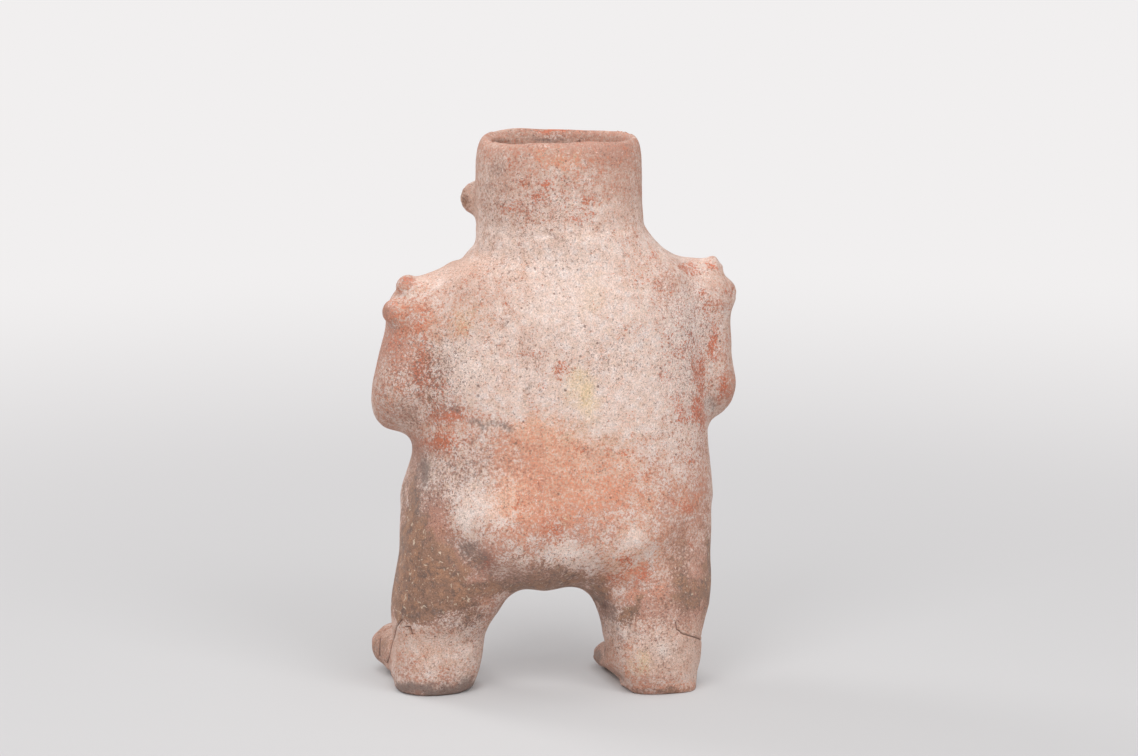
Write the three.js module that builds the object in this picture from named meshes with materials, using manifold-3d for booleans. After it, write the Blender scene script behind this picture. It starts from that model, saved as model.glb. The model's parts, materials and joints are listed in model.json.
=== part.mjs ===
// A hollow terracotta figure with an open head, built up by hand from separately shaped pieces of clay:
// a pot for the body, a collar for the head, two legs on two feet, two arm rolls, and small applied
// pieces for the ears, the face and the shoulder pellets. Each piece is its own solid, and every luted
// joint is a seam of a fixed clearance.
//
// Millimetres, +Z up. The figure stands on z = 0 and faces -Y, so its left side is +X.
import * as THREE from 'three';
import { mergeVertices } from 'three/addons/utils/BufferGeometryUtils.js';
import Module from 'manifold-3d';

const wasm = await Module();
wasm.setup();

// The whole height, and the heights of the levels, each measured from the one below. The torso takes up
// what the others leave.
const figureHeight = 300.5;
const footHeight = 30; // floor to the ankle seam
const crotchRise = 24.5; // ankle seam to the lowest place of the pot, between the legs
const hipRise = 45; // lowest place to the widest level of the hips
const waistRise = 32; // hips to the waist
const shoulderRise = 46; // middle of the chest to the shoulders
const neckRise = 23; // shoulders to the neck seam
const headHeight = 50; // neck seam to the rim

// The body pot: half widths, half depths and how far each level's middle lies off the axis.
const hipHalfWidth = 86.5;
const hipHalfDepth = 55;
const waistHalfWidth = 81.5;
const waistHalfDepth = 51;
const waistOffset = -1.5;
const chestHalfWidth = 79;
const chestHalfDepth = 48.5;
const shoulderHalfWidth = 68.4;
const shoulderHalfDepth = 42;
const shoulderOffset = -3.6;
const neckHalfWidth = 46.5;
const neckHalfDepth = 39;
const neckOffset = -1.8;
const crotchBack = 8; // the pot's lowest place lies this far behind the axis
const bodyWall = 8;
const bodySquareness = 2.35; // 2 is an ellipse, more is boxier

// Two soft swellings low on the back.
const seatProud = 5;
const seatSpread = 40; // each one's middle lies this far to the side
const seatLevel = 33; // and this far above the pot's lowest place
const seatWidth = 26;
const seatRise = 28;

// The head: an open collar with a rounded lip.
const headHalfWidth = 45.3;
const headHalfDepth = 37.5;
const headWall = 8;
const lipRound = 5; // height over which the lip rounds off
const rimWave = 0.6; // how far the hand-formed rim rises and falls
const headSquareness = 2.15;

// Legs: each one's middle, half width and half depth, from its top in the pot's side to its ankle.
const legWall = 10;
const legSquareness = 2.2;
const hipSocket = 47; // how far a leg's middle reaches up past the pot's lowest place
const leftLeg = {
  top: { x: 50, y: 8, halfWidth: 32.5, halfDepth: 34 },
  hip: { x: 55, y: 8, halfWidth: 36, halfDepth: 35 },
  thigh: { x: 55.8, y: 8, halfWidth: 35.4, halfDepth: 33.5 },
  knee: { x: 65.3, y: 7, halfWidth: 29, halfDepth: 28 },
  ankle: { x: 68, y: 4, halfWidth: 25.5, halfDepth: 24.5 },
};
const rightLeg = {
  top: { x: -46, y: 9, halfWidth: 33, halfDepth: 34 },
  hip: { x: -45.5, y: 11, halfWidth: 36.5, halfDepth: 35 },
  thigh: { x: -44, y: 15, halfWidth: 37.2, halfDepth: 34.5 },
  knee: { x: -48, y: 22, halfWidth: 31, halfDepth: 30 },
  ankle: { x: -46.5, y: 27, halfWidth: 27, halfDepth: 27 },
};

// Feet: a heel below the ankle and a toe block that reaches forwards from it.
const heelInset = 4.5; // the sole's contact face lies this far inside the heel's outline
const toeGrooves = 4;
const toeGrooveDepth = 1.8;
const toeGrooveWidth = 1.6;
const leftFoot = {
  heelShift: 2.5,
  toeShift: 5,
  toeReach: 55,
  toeHalfWidth: 25,
  toeThickness: 21,
  toeLift: 5,
};
const rightFoot = {
  heelShift: -1,
  toeShift: -0.5,
  toeReach: 53,
  toeHalfWidth: 24.5,
  toeThickness: 12,
  toeLift: 3,
};

// Arms: rolls that lie on the body's sides and fold forwards at the elbow.
const armSquareness = 2.2;
const shoulderHalfThickness = 24; // the round shoulder, front to back
const armThickness = 17.5; // half thickness of the upper arm, away from the body
const armBreadth = 21; // its half breadth, front to back
const elbowSize = 17.5; // half thickness of the roll at the elbow
const wristThickness = 11;
const wristBreadth = 11.5;
const handThickness = 7;
const handBreadth = 13;
const fingerGrooves = 4;
const fingerGrooveDepth = 1.4;
const fingerGrooveWidth = 1.3;
const fingerLength = 15;
const armBack = -2; // the upper arm's middle lies this far behind the axis
const elbowBend = 9; // the upper arm ends this far above the elbow
const handRise = 12; // the hands lie this far above the elbows
// Each elbow's reach to the side and drop below the chest, and the shoulder's place and radius.
const leftArm = {
  side: 1,
  reach: 83.5,
  elbowDrop: 24,
  shoulderInset: 14.5, // the shoulder's middle lies this far inside the elbow's
  shoulderDrop: 25,
  shoulderRadius: 25,
  handGap: 15,
};
const rightArm = {
  side: -1,
  reach: 83,
  elbowDrop: 26,
  shoulderInset: 9,
  shoulderDrop: 21,
  shoulderRadius: 25.6,
  handGap: 13,
};

// Applied pieces.
const pelletRadius = 6.2;
const pelletProud = 4.2; // how far a pellet stands out of the shoulder
const pelletBack = 18; // degrees that the pellets lie behind the shoulder's side
const upperPellet = 53; // degrees above the shoulder's middle
const lowerPellet = 14;
const earHalfHeight = 10;
const earReach = 10; // how far an ear stands out from the head
const earHalfThickness = 4.6;
const earAngle = 27; // degrees from the side of the head towards the face
const earLevel = 14.5; // its middle above the neck seam
const noseLength = 22;
const noseHalfWidth = 5;
const noseProud = 9;
const noseLevel = 23; // its middle above the neck seam
const eyeHalfWidth = 7.5;
const eyeHalfHeight = 3.8;
const eyeProud = 3;
const eyeAngle = 26; // degrees from the middle of the face
const eyeLevel = 28; // above the neck seam, like the rest of the face
const mouthHalfWidth = 10;
const mouthHalfHeight = 3.6;
const mouthProud = 3.2;
const mouthLevel = 5.5;
const slitWidth = 1.2;
const slitDepth = 1.4;

// Clearance of every luted seam.
const seam = 0.3;

const ankleSeam = footHeight;
const crotchLevel = ankleSeam + crotchRise;
const hipLevel = crotchLevel + hipRise;
const waistLevel = hipLevel + waistRise;
const rimLevel = figureHeight;
const neckSeam = rimLevel - headHeight;
const shoulderLevel = neckSeam - neckRise;
const chestLevel = shoulderLevel - shoulderRise;
const chestRise = chestLevel - waistLevel;

const bodySegments = 40;
const limbSegments = 24;
const smallSegments = 16;
const X = new THREE.Vector3(1, 0, 0);
const Y = new THREE.Vector3(0, 1, 0);
const Z = new THREE.Vector3(0, 0, 1);

// One cross-section: its middle, its two half axes as vectors, and how square it is.
function station(middle, across, along, squareness) {
  return { middle, across, along, squareness };
}

// A level cross-section at height z.
function level(z, halfWidth, halfDepth, x = 0, y = 0, squareness = bodySquareness) {
  return station(
    new THREE.Vector3(x, y, z),
    X.clone().multiplyScalar(halfWidth),
    Y.clone().multiplyScalar(halfDepth),
    squareness,
  );
}

// The point of a cross-section at an angle, from its first half axis towards its second.
function pointAt({ middle, across, along, squareness }, angle) {
  const power = 2 / squareness;
  const c = Math.cos(angle);
  const s = Math.sin(angle);
  return middle
    .clone()
    .addScaledVector(across, Math.sign(c) * Math.abs(c) ** power)
    .addScaledVector(along, Math.sign(s) * Math.abs(s) ** power);
}

function ringOf(section, segments, lift = () => 0) {
  return Array.from({ length: segments }, (_, i) => {
    const angle = (2 * Math.PI * i) / segments;
    return pointAt(section, angle).addScaledVector(Z, lift(angle));
  });
}

// The cross-section at a share t, from 0 to 1, of the way through a list of them, on a smooth curve.
function between(stations, t) {
  const spline = (pick) =>
    new THREE.CatmullRomCurve3(stations.map(pick), false, 'centripetal').getPoint(t);
  const squareness = new THREE.SplineCurve(
    stations.map((s, i) => new THREE.Vector2(i, s.squareness)),
  ).getPoint(t).y;
  return station(
    spline((s) => s.middle),
    spline((s) => s.across),
    spline((s) => s.along),
    squareness,
  );
}

function smoothed(stations, count) {
  return Array.from({ length: count + 1 }, (_, i) => between(stations, i / count));
}

// The same cross-section made larger all round by a margin.
function grown({ middle, across, along, squareness }, margin) {
  const longer = (axis) => axis.clone().setLength(Math.max(axis.length() + margin, 0.5));
  return station(middle.clone(), longer(across), longer(along), squareness);
}

// A closed solid through a list of rings. A loop joins its last ring to its first; otherwise each end
// is closed by a fan.
function skinned(rings, loop = false) {
  const count = rings[0].length;
  const points = rings.flat();
  const index = [];
  const spans = loop ? rings.length : rings.length - 1;
  for (let r = 0; r < spans; r++) {
    const next = (r + 1) % rings.length;
    for (let i = 0; i < count; i++) {
      const j = (i + 1) % count;
      const [a, b, c, d] = [r * count + i, r * count + j, next * count + i, next * count + j];
      index.push(a, b, d, a, d, c);
    }
  }
  if (!loop) {
    for (const [r, turned] of [[0, true], [rings.length - 1, false]]) {
      const hub = points.length;
      const middle = new THREE.Vector3();
      rings[r].forEach((p) => middle.addScaledVector(p, 1 / count));
      points.push(middle);
      for (let i = 0; i < count; i++) {
        const [a, b] = [r * count + i, r * count + ((i + 1) % count)];
        index.push(...(turned ? [hub, b, a] : [hub, a, b]));
      }
    }
  }
  const geometry = new THREE.BufferGeometry().setFromPoints(points);
  geometry.setIndex(index);
  return solid(geometry);
}

// The volume inside an indexed geometry, negative if its faces point inwards.
function signedVolume(position, index) {
  const [a, b, c] = [new THREE.Vector3(), new THREE.Vector3(), new THREE.Vector3()];
  let sum = 0;
  for (let i = 0; i < index.length; i += 3) {
    a.fromBufferAttribute(position, index[i]);
    b.fromBufferAttribute(position, index[i + 1]);
    c.fromBufferAttribute(position, index[i + 2]);
    sum += a.dot(b.cross(c)) / 6;
  }
  return sum;
}

// A closed geometry as a solid that can be cut and joined.
function solid(geometry) {
  const bare = geometry.clone();
  bare.deleteAttribute('normal');
  bare.deleteAttribute('uv');
  const merged = mergeVertices(bare, 1e-4);
  const index = Array.from(merged.index.array);
  if (signedVolume(merged.attributes.position, index) < 0) index.reverse();
  return new wasm.Manifold(
    new wasm.Mesh({
      numProp: 3,
      vertProperties: new Float32Array(merged.attributes.position.array),
      triVerts: new Uint32Array(index),
    }),
  );
}

function loft(stations, segments, margin = 0) {
  return skinned(stations.map((s) => ringOf(margin ? grown(s, margin) : s, segments)));
}

// Everything below, or above, a height.
function beyond(z, upwards) {
  const size = 4 * figureHeight;
  const box = new THREE.BoxGeometry(size, size, size);
  return solid(box.translate(0, 0, z + (upwards ? 0.5 : -0.5) * size));
}

function ellipsoid(middle, forward, side, up, [reach, halfWidth, halfHeight]) {
  const ball = new THREE.SphereGeometry(1, 14, 8);
  const turn = new THREE.Matrix4().makeBasis(
    forward.clone().multiplyScalar(reach),
    side.clone().multiplyScalar(halfWidth),
    up.clone().multiplyScalar(halfHeight),
  );
  return solid(ball.applyMatrix4(turn.setPosition(middle)));
}

// A thin block from one point to another, sunk to a depth along a direction, for an incised line.
function groove(from, to, into, width, depth) {
  const run = to.clone().sub(from);
  const above = 4;
  const box = new THREE.BoxGeometry(run.length(), width, depth + above);
  const along = run.clone().normalize();
  const up = into.clone().addScaledVector(along, -into.dot(along)).normalize().negate();
  const turn = new THREE.Matrix4().makeBasis(along, up.clone().cross(along), up);
  const middle = from.clone().add(to).multiplyScalar(0.5).addScaledVector(up, (above - depth) / 2);
  return solid(box.applyMatrix4(turn.setPosition(middle)));
}

const mean = (a, b) => (a + b) / 2;

// The body pot, from its lowest place up to the neck seam. Its bottom is a bowl.
function bowl(share) {
  const round = Math.sqrt(1 - (1 - share) ** 2.2);
  const back = crotchBack * (1 - share);
  return level(crotchLevel + share * hipRise, round * hipHalfWidth, round * hipHalfDepth, 0.5, back);
}
const bodyStations = [
  bowl(0.012),
  bowl(0.06),
  bowl(0.16),
  bowl(0.32),
  bowl(0.6),
  bowl(1),
  level(
    hipLevel + 0.55 * waistRise,
    mean(hipHalfWidth, waistHalfWidth),
    mean(hipHalfDepth, waistHalfDepth),
    waistOffset / 3,
  ),
  level(waistLevel, waistHalfWidth, waistHalfDepth, waistOffset),
  level(
    waistLevel + 0.5 * chestRise,
    mean(waistHalfWidth, chestHalfWidth),
    mean(waistHalfDepth, chestHalfDepth),
    waistOffset,
  ),
  level(chestLevel, chestHalfWidth, chestHalfDepth, -1),
  level(chestLevel + 0.45 * shoulderRise, chestHalfWidth - 2, chestHalfDepth - 1, -1.5),
  level(chestLevel + 0.78 * shoulderRise, chestHalfWidth - 6, chestHalfDepth - 3.5, -3),
  level(shoulderLevel, shoulderHalfWidth, shoulderHalfDepth, shoulderOffset),
  level(
    shoulderLevel + 0.26 * neckRise,
    shoulderHalfWidth - 9,
    shoulderHalfDepth - 1.5,
    shoulderOffset - 1,
  ),
  level(shoulderLevel + 0.6 * neckRise, neckHalfWidth + 1.5, neckHalfDepth + 0.5, neckOffset - 3.2),
  level(neckSeam, neckHalfWidth, neckHalfDepth, neckOffset),
];
const bodyOuter = smoothed(bodyStations, 24);

// How far the two swellings push a point of the pot backwards.
function seatPush(point) {
  if (point.y <= 0) return 0;
  const rise = (point.z - crotchLevel - seatLevel) / seatRise;
  const back = Math.min(1, point.y / (0.6 * hipHalfDepth));
  const swell = (x) => Math.exp(-(((x - seatSpread) / seatWidth) ** 2));
  return seatProud * Math.exp(-rise * rise) * back * (swell(point.x) + swell(-point.x));
}

// The pot's outside as a solid, larger or smaller all round by a margin.
function pot(stations, segments, margin = 0) {
  const rings = stations.map((s) => ringOf(margin ? grown(s, margin) : s, segments));
  rings.flat().forEach((p) => (p.y += seatPush(p)));
  return skinned(rings);
}

function legStations(leg) {
  const { top, hip, thigh, knee, ankle } = leg;
  const at = (z, p) => level(z, p.halfWidth, p.halfDepth, p.x, p.y, legSquareness);
  return [
    at(ankleSeam + seam, ankle),
    at(ankleSeam + 0.55 * crotchRise, knee),
    at(crotchLevel + 0.25 * hipSocket, thigh),
    at(crotchLevel + 0.62 * hipSocket, hip),
    at(crotchLevel + hipSocket, top),
  ];
}

// The hollow of a leg, from its foot up into the pot.
function legHollow(leg) {
  const stations = legStations(leg).map((s) => grown(s, -legWall));
  stations[0].middle.z -= bodyWall;
  return loft(smoothed(stations.slice(0, 3), 4), limbSegments - 6);
}

const bodyCutter = pot(bodyOuter, bodySegments, seam);

function bodyHollow() {
  const lowest = crotchLevel + bodyWall;
  const rings = bodyOuter
    .filter((s, i) => s.middle.z > lowest + 3 && i % 2 === 0)
    .map((s) => grown(s, -bodyWall));
  const first = rings[0];
  const floor = grown(first, -0.35 * first.along.length());
  floor.middle.z = lowest;
  const top = rings[rings.length - 1];
  const past = station(top.middle.clone().setZ(neckSeam + bodyWall), top.across, top.along, top.squareness);
  return pot([floor, ...rings, past], bodySegments - 12);
}

function makeBody() {
  let body = pot(bodyOuter, bodySegments).subtract(bodyHollow());
  for (const leg of [leftLeg, rightLeg]) body = body.subtract(legHollow(leg));
  return largest(body);
}

function makeLeg(leg) {
  const plain = loft(smoothed(legStations(leg), 9), limbSegments);
  return largest(plain.subtract(legHollow(leg)).subtract(bodyCutter));
}

// A foot: the heel carries the leg, and the toe block reaches forwards with its tips off the floor.
function makeFoot(leg, foot) {
  const { x, y, halfWidth, halfDepth } = leg.ankle;
  const heelAt = (share, inset, shift) =>
    level(share * footHeight, halfWidth - inset, halfDepth - inset, x + shift * foot.heelShift, y,
      legSquareness);
  const heel = [
    heelAt(0, heelInset, 1),
    heelAt(0.12, 0.6 * heelInset, 1),
    heelAt(0.33, 0.22 * heelInset, 0.7),
    heelAt(0.7, 0.11 * heelInset, 0.2),
    heelAt(1, 0, 0),
  ];
  const toeX = x + foot.toeShift;
  const half = foot.toeThickness / 2;
  const { toeReach, toeHalfWidth, toeLift } = foot;
  const across = (reach, cx, wide, z, high) =>
    station(
      new THREE.Vector3(cx, y - reach, z),
      X.clone().multiplyScalar(wide),
      Z.clone().multiplyScalar(high),
      2.4,
    );
  const rootHigh = 0.47 * footHeight;
  const instep = mean(rootHigh, half) + 1;
  const toes = [
    across(0, x, 0.85 * halfWidth, rootHigh, rootHigh),
    across(0.4 * toeReach, mean(x, toeX), toeHalfWidth - 2, instep, instep),
    across(0.72 * toeReach, toeX, toeHalfWidth, half + 0.4 * toeLift, half + 0.5),
    across(0.92 * toeReach, toeX, toeHalfWidth - 1.5, toeLift + half - 0.5, 0.94 * half),
    across(toeReach, toeX, toeHalfWidth - 6, toeLift + half, 0.6 * half),
  ];
  let solidFoot = loft(smoothed(heel, 7), limbSegments).add(loft(smoothed(toes, 9), limbSegments));
  const pitch = (2 * (toeHalfWidth - 1)) / (toeGrooves + 1);
  for (let i = 0; i < toeGrooves; i++) {
    const off = (i - (toeGrooves - 1) / 2) * pitch;
    const tip = new THREE.Vector3(toeX + 1.08 * off, y - toeReach - 2, toeLift + half);
    const top = new THREE.Vector3(toeX + 0.94 * off, y - 0.72 * toeReach, foot.toeThickness + 2.2);
    const front = groove(tip.clone().setZ(0), tip.clone().setZ(toeLift + foot.toeThickness),
      Y, toeGrooveWidth, toeGrooveDepth + 5);
    const over = groove(top, tip.clone().setZ(toeLift + foot.toeThickness - 2.5),
      Z.clone().negate(), toeGrooveWidth, toeGrooveDepth);
    solidFoot = solidFoot.subtract(front).subtract(over);
  }
  return solidFoot.subtract(beyond(0, false)).subtract(beyond(ankleSeam, true));
}

// The body's outline at a height, for what lies against it.
function bodyAt(z) {
  let low = 0;
  let high = 1;
  for (let i = 0; i < 30; i++) {
    const t = (low + high) / 2;
    if (between(bodyStations, t).middle.z < z) low = t;
    else high = t;
  }
  return between(bodyStations, (low + high) / 2);
}

// An arm's cross-sections. The first half axis points away from the body, the second along its skin.
function armStations(arm) {
  const { side, shoulderDrop, shoulderRadius, reach, shoulderInset, elbowDrop, handGap } = arm;
  const elbowZ = chestLevel - elbowDrop;
  const shoulderZ = shoulderLevel - shoulderDrop;
  const upper = (x, z) => new THREE.Vector3(side * x, armBack, z);
  // A place on the body's front, at an angle from its side, standing off its skin.
  const onBody = (z, degrees, off) => {
    const angle = THREE.MathUtils.degToRad(side > 0 ? -degrees : 180 + degrees);
    const skin = pointAt(bodyAt(z), angle);
    const out = new THREE.Vector3(Math.cos(angle), 1.4 * Math.sin(angle), 0).normalize();
    return skin.addScaledVector(out, off);
  };
  const handZ = elbowZ + handRise;
  const palm = onBody(handZ, 66, 3.5);
  const tip = onBody(handZ + 2.5, 90, 2.5).setX(side * handGap);
  const way = [
    [upper(reach - shoulderInset, shoulderZ), shoulderRadius - 2, armBreadth],
    [upper(reach - 0.5 * shoulderInset, (2 * shoulderZ + elbowZ) / 3), armThickness + 2, armBreadth],
    [upper(reach - 0.08 * shoulderInset, (shoulderZ + 2 * elbowZ) / 3), armThickness, armBreadth],
    [upper(reach, elbowZ + elbowBend), armThickness + 0.5, armBreadth - 1],
    [upper(reach - 0.5, elbowZ - 1).addScaledVector(Y, -0.9 * elbowBend), elbowSize, elbowSize],
    [onBody(elbowZ + 1, 28, 5.5), wristThickness + 5, wristBreadth + 5],
    [onBody(elbowZ + 6, 48, 4.5), wristThickness + 1, wristBreadth + 1.5],
    [palm, handThickness + 1.5, handBreadth],
    [palm.clone().lerp(tip, 0.72), handThickness - 0.5, handBreadth - 0.5],
    [tip, 0.45 * handThickness, 0.66 * handBreadth],
  ];
  const path = new THREE.CatmullRomCurve3(way.map((w) => w[0]), false, 'centripetal');
  return way.map(([middle, thick, broad], i) => {
    const tangent = path.getTangent(i / (way.length - 1));
    const out = middle.clone().setZ(0);
    out.addScaledVector(tangent, -out.dot(tangent)).normalize();
    const along = tangent.clone().cross(out);
    return station(middle, out.multiplyScalar(thick), along.multiplyScalar(broad), armSquareness);
  });
}

function shoulderMiddle({ side, reach, shoulderInset, shoulderDrop }) {
  return new THREE.Vector3(side * (reach - shoulderInset), armBack, shoulderLevel - shoulderDrop);
}

// The round of a shoulder, larger all round by a margin.
function shoulderBall(arm, margin = 0) {
  const radius = arm.shoulderRadius + margin;
  return ellipsoid(shoulderMiddle(arm), X, Y, Z, [radius, shoulderHalfThickness + margin, radius]);
}

function armRoll(arm, margin = 0) {
  return loft(smoothed(armStations(arm), 18), limbSegments - 4, margin).add(shoulderBall(arm, margin));
}

function makeArm(arm) {
  const stations = armStations(arm);
  let shape = armRoll(arm).subtract(bodyCutter);
  const palm = stations[stations.length - 3];
  const tip = stations[stations.length - 1];
  const run = tip.middle.clone().sub(palm.middle).normalize();
  const out = tip.across.clone().normalize();
  const wide = out.clone().cross(run);
  const pitch = (2 * handBreadth) / (fingerGrooves + 1);
  for (let i = 0; i < fingerGrooves; i++) {
    const off = (i - (fingerGrooves - 1) / 2) * pitch;
    const end = tip.middle.clone().addScaledVector(run, 4).addScaledVector(wide, 0.9 * off)
      .addScaledVector(out, 0.4 * handThickness);
    const start = end.clone().addScaledVector(run, -fingerLength - 4).addScaledVector(wide, 0.1 * off)
      .addScaledVector(out, 0.42 * handThickness);
    shape = shape.subtract(groove(start, end, out.clone().negate(), fingerGrooveWidth, fingerGrooveDepth));
  }
  return largest(shape);
}

// The largest of the bodies that a cut leaves.
function largest(cut) {
  return cut.decompose().reduce((a, b) => (b.volume() > a.volume() ? b : a));
}

// The head: an open collar whose wall turns over into a rounded lip.
const headOuterStations = [
  level(neckSeam + seam, neckHalfWidth, neckHalfDepth, neckOffset, 0, headSquareness),
  level(neckSeam + 0.18 * headHeight, headHalfWidth + 0.1, headHalfDepth + 0.4, -0.8, 0, headSquareness),
  level(neckSeam + 0.5 * headHeight, headHalfWidth, headHalfDepth, -0.8, 0, headSquareness),
  level(rimLevel - 2.2 * lipRound, headHalfWidth - 0.6, headHalfDepth - 0.5, -1.1, 0, headSquareness),
  level(rimLevel - lipRound, headHalfWidth - 1.4, headHalfDepth - 1.2, -1.2, 0, headSquareness),
];

function makeHead() {
  const shape = (z, inset) =>
    level(z, headHalfWidth - inset, headHalfDepth - inset, -1.2, 0, headSquareness);
  const outer = smoothed(headOuterStations, 8);
  const lip = [
    shape(rimLevel - 0.4 * lipRound, 2.4),
    shape(rimLevel, headWall / 2 + 0.7),
    shape(rimLevel - 0.4 * lipRound, headWall - 0.8),
    shape(rimLevel - lipRound, headWall),
  ];
  const inner = [
    shape(rimLevel - 0.4 * headHeight, headWall),
    level(neckSeam + seam, neckHalfWidth - headWall, neckHalfDepth - headWall, neckOffset, 0, headSquareness),
  ];
  const wave = (z) => (angle) =>
    (rimWave * Math.cos(2 * angle + 0.3) * Math.max(0, z - rimLevel + 3 * lipRound)) / (3 * lipRound);
  const rings = [...outer, ...lip, ...inner].map((s) => ringOf(s, bodySegments, wave(s.middle.z)));
  return skinned(rings, true);
}

const headCutter = loft(smoothed(headOuterStations, 8), bodySegments, seam);

// A place on the head's skin at a height above the neck seam, with the directions out, sideways and up.
function onHead(rise, degrees) {
  const t = Math.min(1, rise / (headHeight - lipRound));
  const angle = THREE.MathUtils.degToRad(degrees);
  const section = between(headOuterStations, Math.sqrt(t));
  section.middle.z = neckSeam + rise;
  const place = pointAt(section, angle);
  const out = new THREE.Vector3(
    Math.cos(angle) / headHalfWidth,
    Math.sin(angle) / headHalfDepth,
    0,
  ).normalize();
  return { place, out, side: Z.clone().cross(out), up: Z };
}

function makeEar(side) {
  const { place } = onHead(earLevel, side > 0 ? -earAngle : 180 + earAngle);
  const out = new THREE.Vector3(side * 0.935, -0.355, 0).normalize();
  const thin = Z.clone().cross(out);
  const lobe = ellipsoid(place, out, thin, Z, [earReach, earHalfThickness, earHalfHeight]);
  const dish = ellipsoid(
    place.clone().addScaledVector(out, 0.45 * earReach).addScaledVector(thin, -side * earHalfThickness),
    out, thin, Z, [0.4 * earReach, 0.35 * earHalfThickness, 0.5 * earHalfHeight],
  );
  return largest(lobe.subtract(dish).subtract(headCutter));
}

function makeNose() {
  const half = noseLength / 2;
  const part = (share, wide, proud) => {
    const { place, out, side } = onHead(noseLevel + share * half, -90);
    return station(
      place.clone().addScaledVector(out, -1),
      side.clone().multiplyScalar(wide * noseHalfWidth),
      out.clone().multiplyScalar(proud * noseProud + 1),
      2,
    );
  };
  const stations = [
    part(-1, 0.6, 0.35),
    part(-0.75, 1.15, 0.85),
    part(-0.4, 1, 1),
    part(0.2, 0.7, 0.72),
    part(1, 0.45, 0.25),
  ];
  return largest(loft(smoothed(stations, 9), smallSegments).subtract(headCutter));
}

function makeEye(side) {
  const { place, out, side: across, up } = onHead(eyeLevel, -90 + side * eyeAngle);
  const bean = ellipsoid(place, out, across, up, [eyeProud, eyeHalfWidth, eyeHalfHeight]);
  const ends = [-1, 1].map((end) =>
    place.clone().addScaledVector(across, end * 0.75 * eyeHalfWidth).addScaledVector(out, eyeProud),
  );
  const slit = groove(ends[0], ends[1], out.clone().negate(), slitWidth, slitDepth);
  return largest(bean.subtract(slit).subtract(headCutter));
}

function makeMouth() {
  const { place, out, side: across, up } = onHead(mouthLevel, -90);
  const lips = ellipsoid(place, out, across, up, [mouthProud, mouthHalfWidth, mouthHalfHeight]);
  const ends = [-1, 1].map((end) =>
    place.clone().addScaledVector(across, end * 0.78 * mouthHalfWidth).addScaledVector(out, mouthProud),
  );
  const slit = groove(ends[0], ends[1], out.clone().negate(), slitWidth, slitDepth);
  return largest(lips.subtract(slit).subtract(headCutter));
}

// A pellet on the round of a shoulder, at an angle above the shoulder's middle.
function makePellet(arm, degrees) {
  const up = THREE.MathUtils.degToRad(degrees);
  const back = THREE.MathUtils.degToRad(pelletBack);
  const out = new THREE.Vector3(
    arm.side * Math.cos(up) * Math.cos(back),
    Math.cos(up) * Math.sin(back),
    Math.sin(up),
  );
  const skin = shoulderMiddle(arm)
    .addScaledVector(X, arm.shoulderRadius * out.x)
    .addScaledVector(Y, shoulderHalfThickness * out.y)
    .addScaledVector(Z, arm.shoulderRadius * out.z);
  const side = Y.clone().addScaledVector(out, -out.y).normalize();
  const ball = ellipsoid(skin, out, side, out.clone().cross(side),
    [pelletProud, pelletRadius, pelletRadius]);
  return largest(ball.subtract(armRoll(arm, seam)).subtract(bodyCutter));
}

// Fired clay: a pale burial crust over red slip, with brown and orange patches.
const clay = (color, roughness = 0.9) =>
  new THREE.MeshStandardMaterial({ color, roughness, metalness: 0 });
const crustedClay = clay(0xc9a394);
const redClay = clay(0xc07f66);
const brownClay = clay(0x9c7a66, 0.8);

const figure = new THREE.Group();
figure.name = 'terracotta_figure';

function add(name, shape, material) {
  const mesh = shape.getMesh();
  const geometry = new THREE.BufferGeometry();
  geometry.setAttribute('position', new THREE.BufferAttribute(mesh.vertProperties, 3));
  geometry.setIndex(new THREE.BufferAttribute(mesh.triVerts, 1));
  geometry.computeVertexNormals();
  const piece = new THREE.Mesh(geometry, material);
  piece.name = name;
  figure.add(piece);
}

add('body', makeBody(), crustedClay);
add('head', makeHead(), crustedClay);
add('left_leg', makeLeg(leftLeg), brownClay);
add('right_leg', makeLeg(rightLeg), redClay);
add('left_foot', makeFoot(leftLeg, leftFoot), crustedClay);
add('right_foot', makeFoot(rightLeg, rightFoot), crustedClay);
add('left_ear', makeEar(1), crustedClay);
add('right_ear', makeEar(-1), crustedClay);
add('nose', makeNose(), crustedClay);
add('left_eye', makeEye(1), crustedClay);
add('right_eye', makeEye(-1), crustedClay);
add('mouth', makeMouth(), crustedClay);

for (const [name, arm] of [['left', leftArm], ['right', rightArm]]) {
  add(`${name}_arm`, makeArm(arm), redClay);
  add(`${name}_upper_pellet`, makePellet(arm, upperPellet), redClay);
  add(`${name}_lower_pellet`, makePellet(arm, lowerPellet), redClay);
}

export default figure;
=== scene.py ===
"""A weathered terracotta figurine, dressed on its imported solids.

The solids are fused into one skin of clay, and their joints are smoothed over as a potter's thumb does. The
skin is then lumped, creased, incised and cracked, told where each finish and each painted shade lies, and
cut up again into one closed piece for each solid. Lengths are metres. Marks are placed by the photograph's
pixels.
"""
import json
import math
from contextlib import contextmanager

import bmesh
import bpy
import numpy as np
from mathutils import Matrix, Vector, noise
from mathutils.bvhtree import BVHTree


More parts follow.
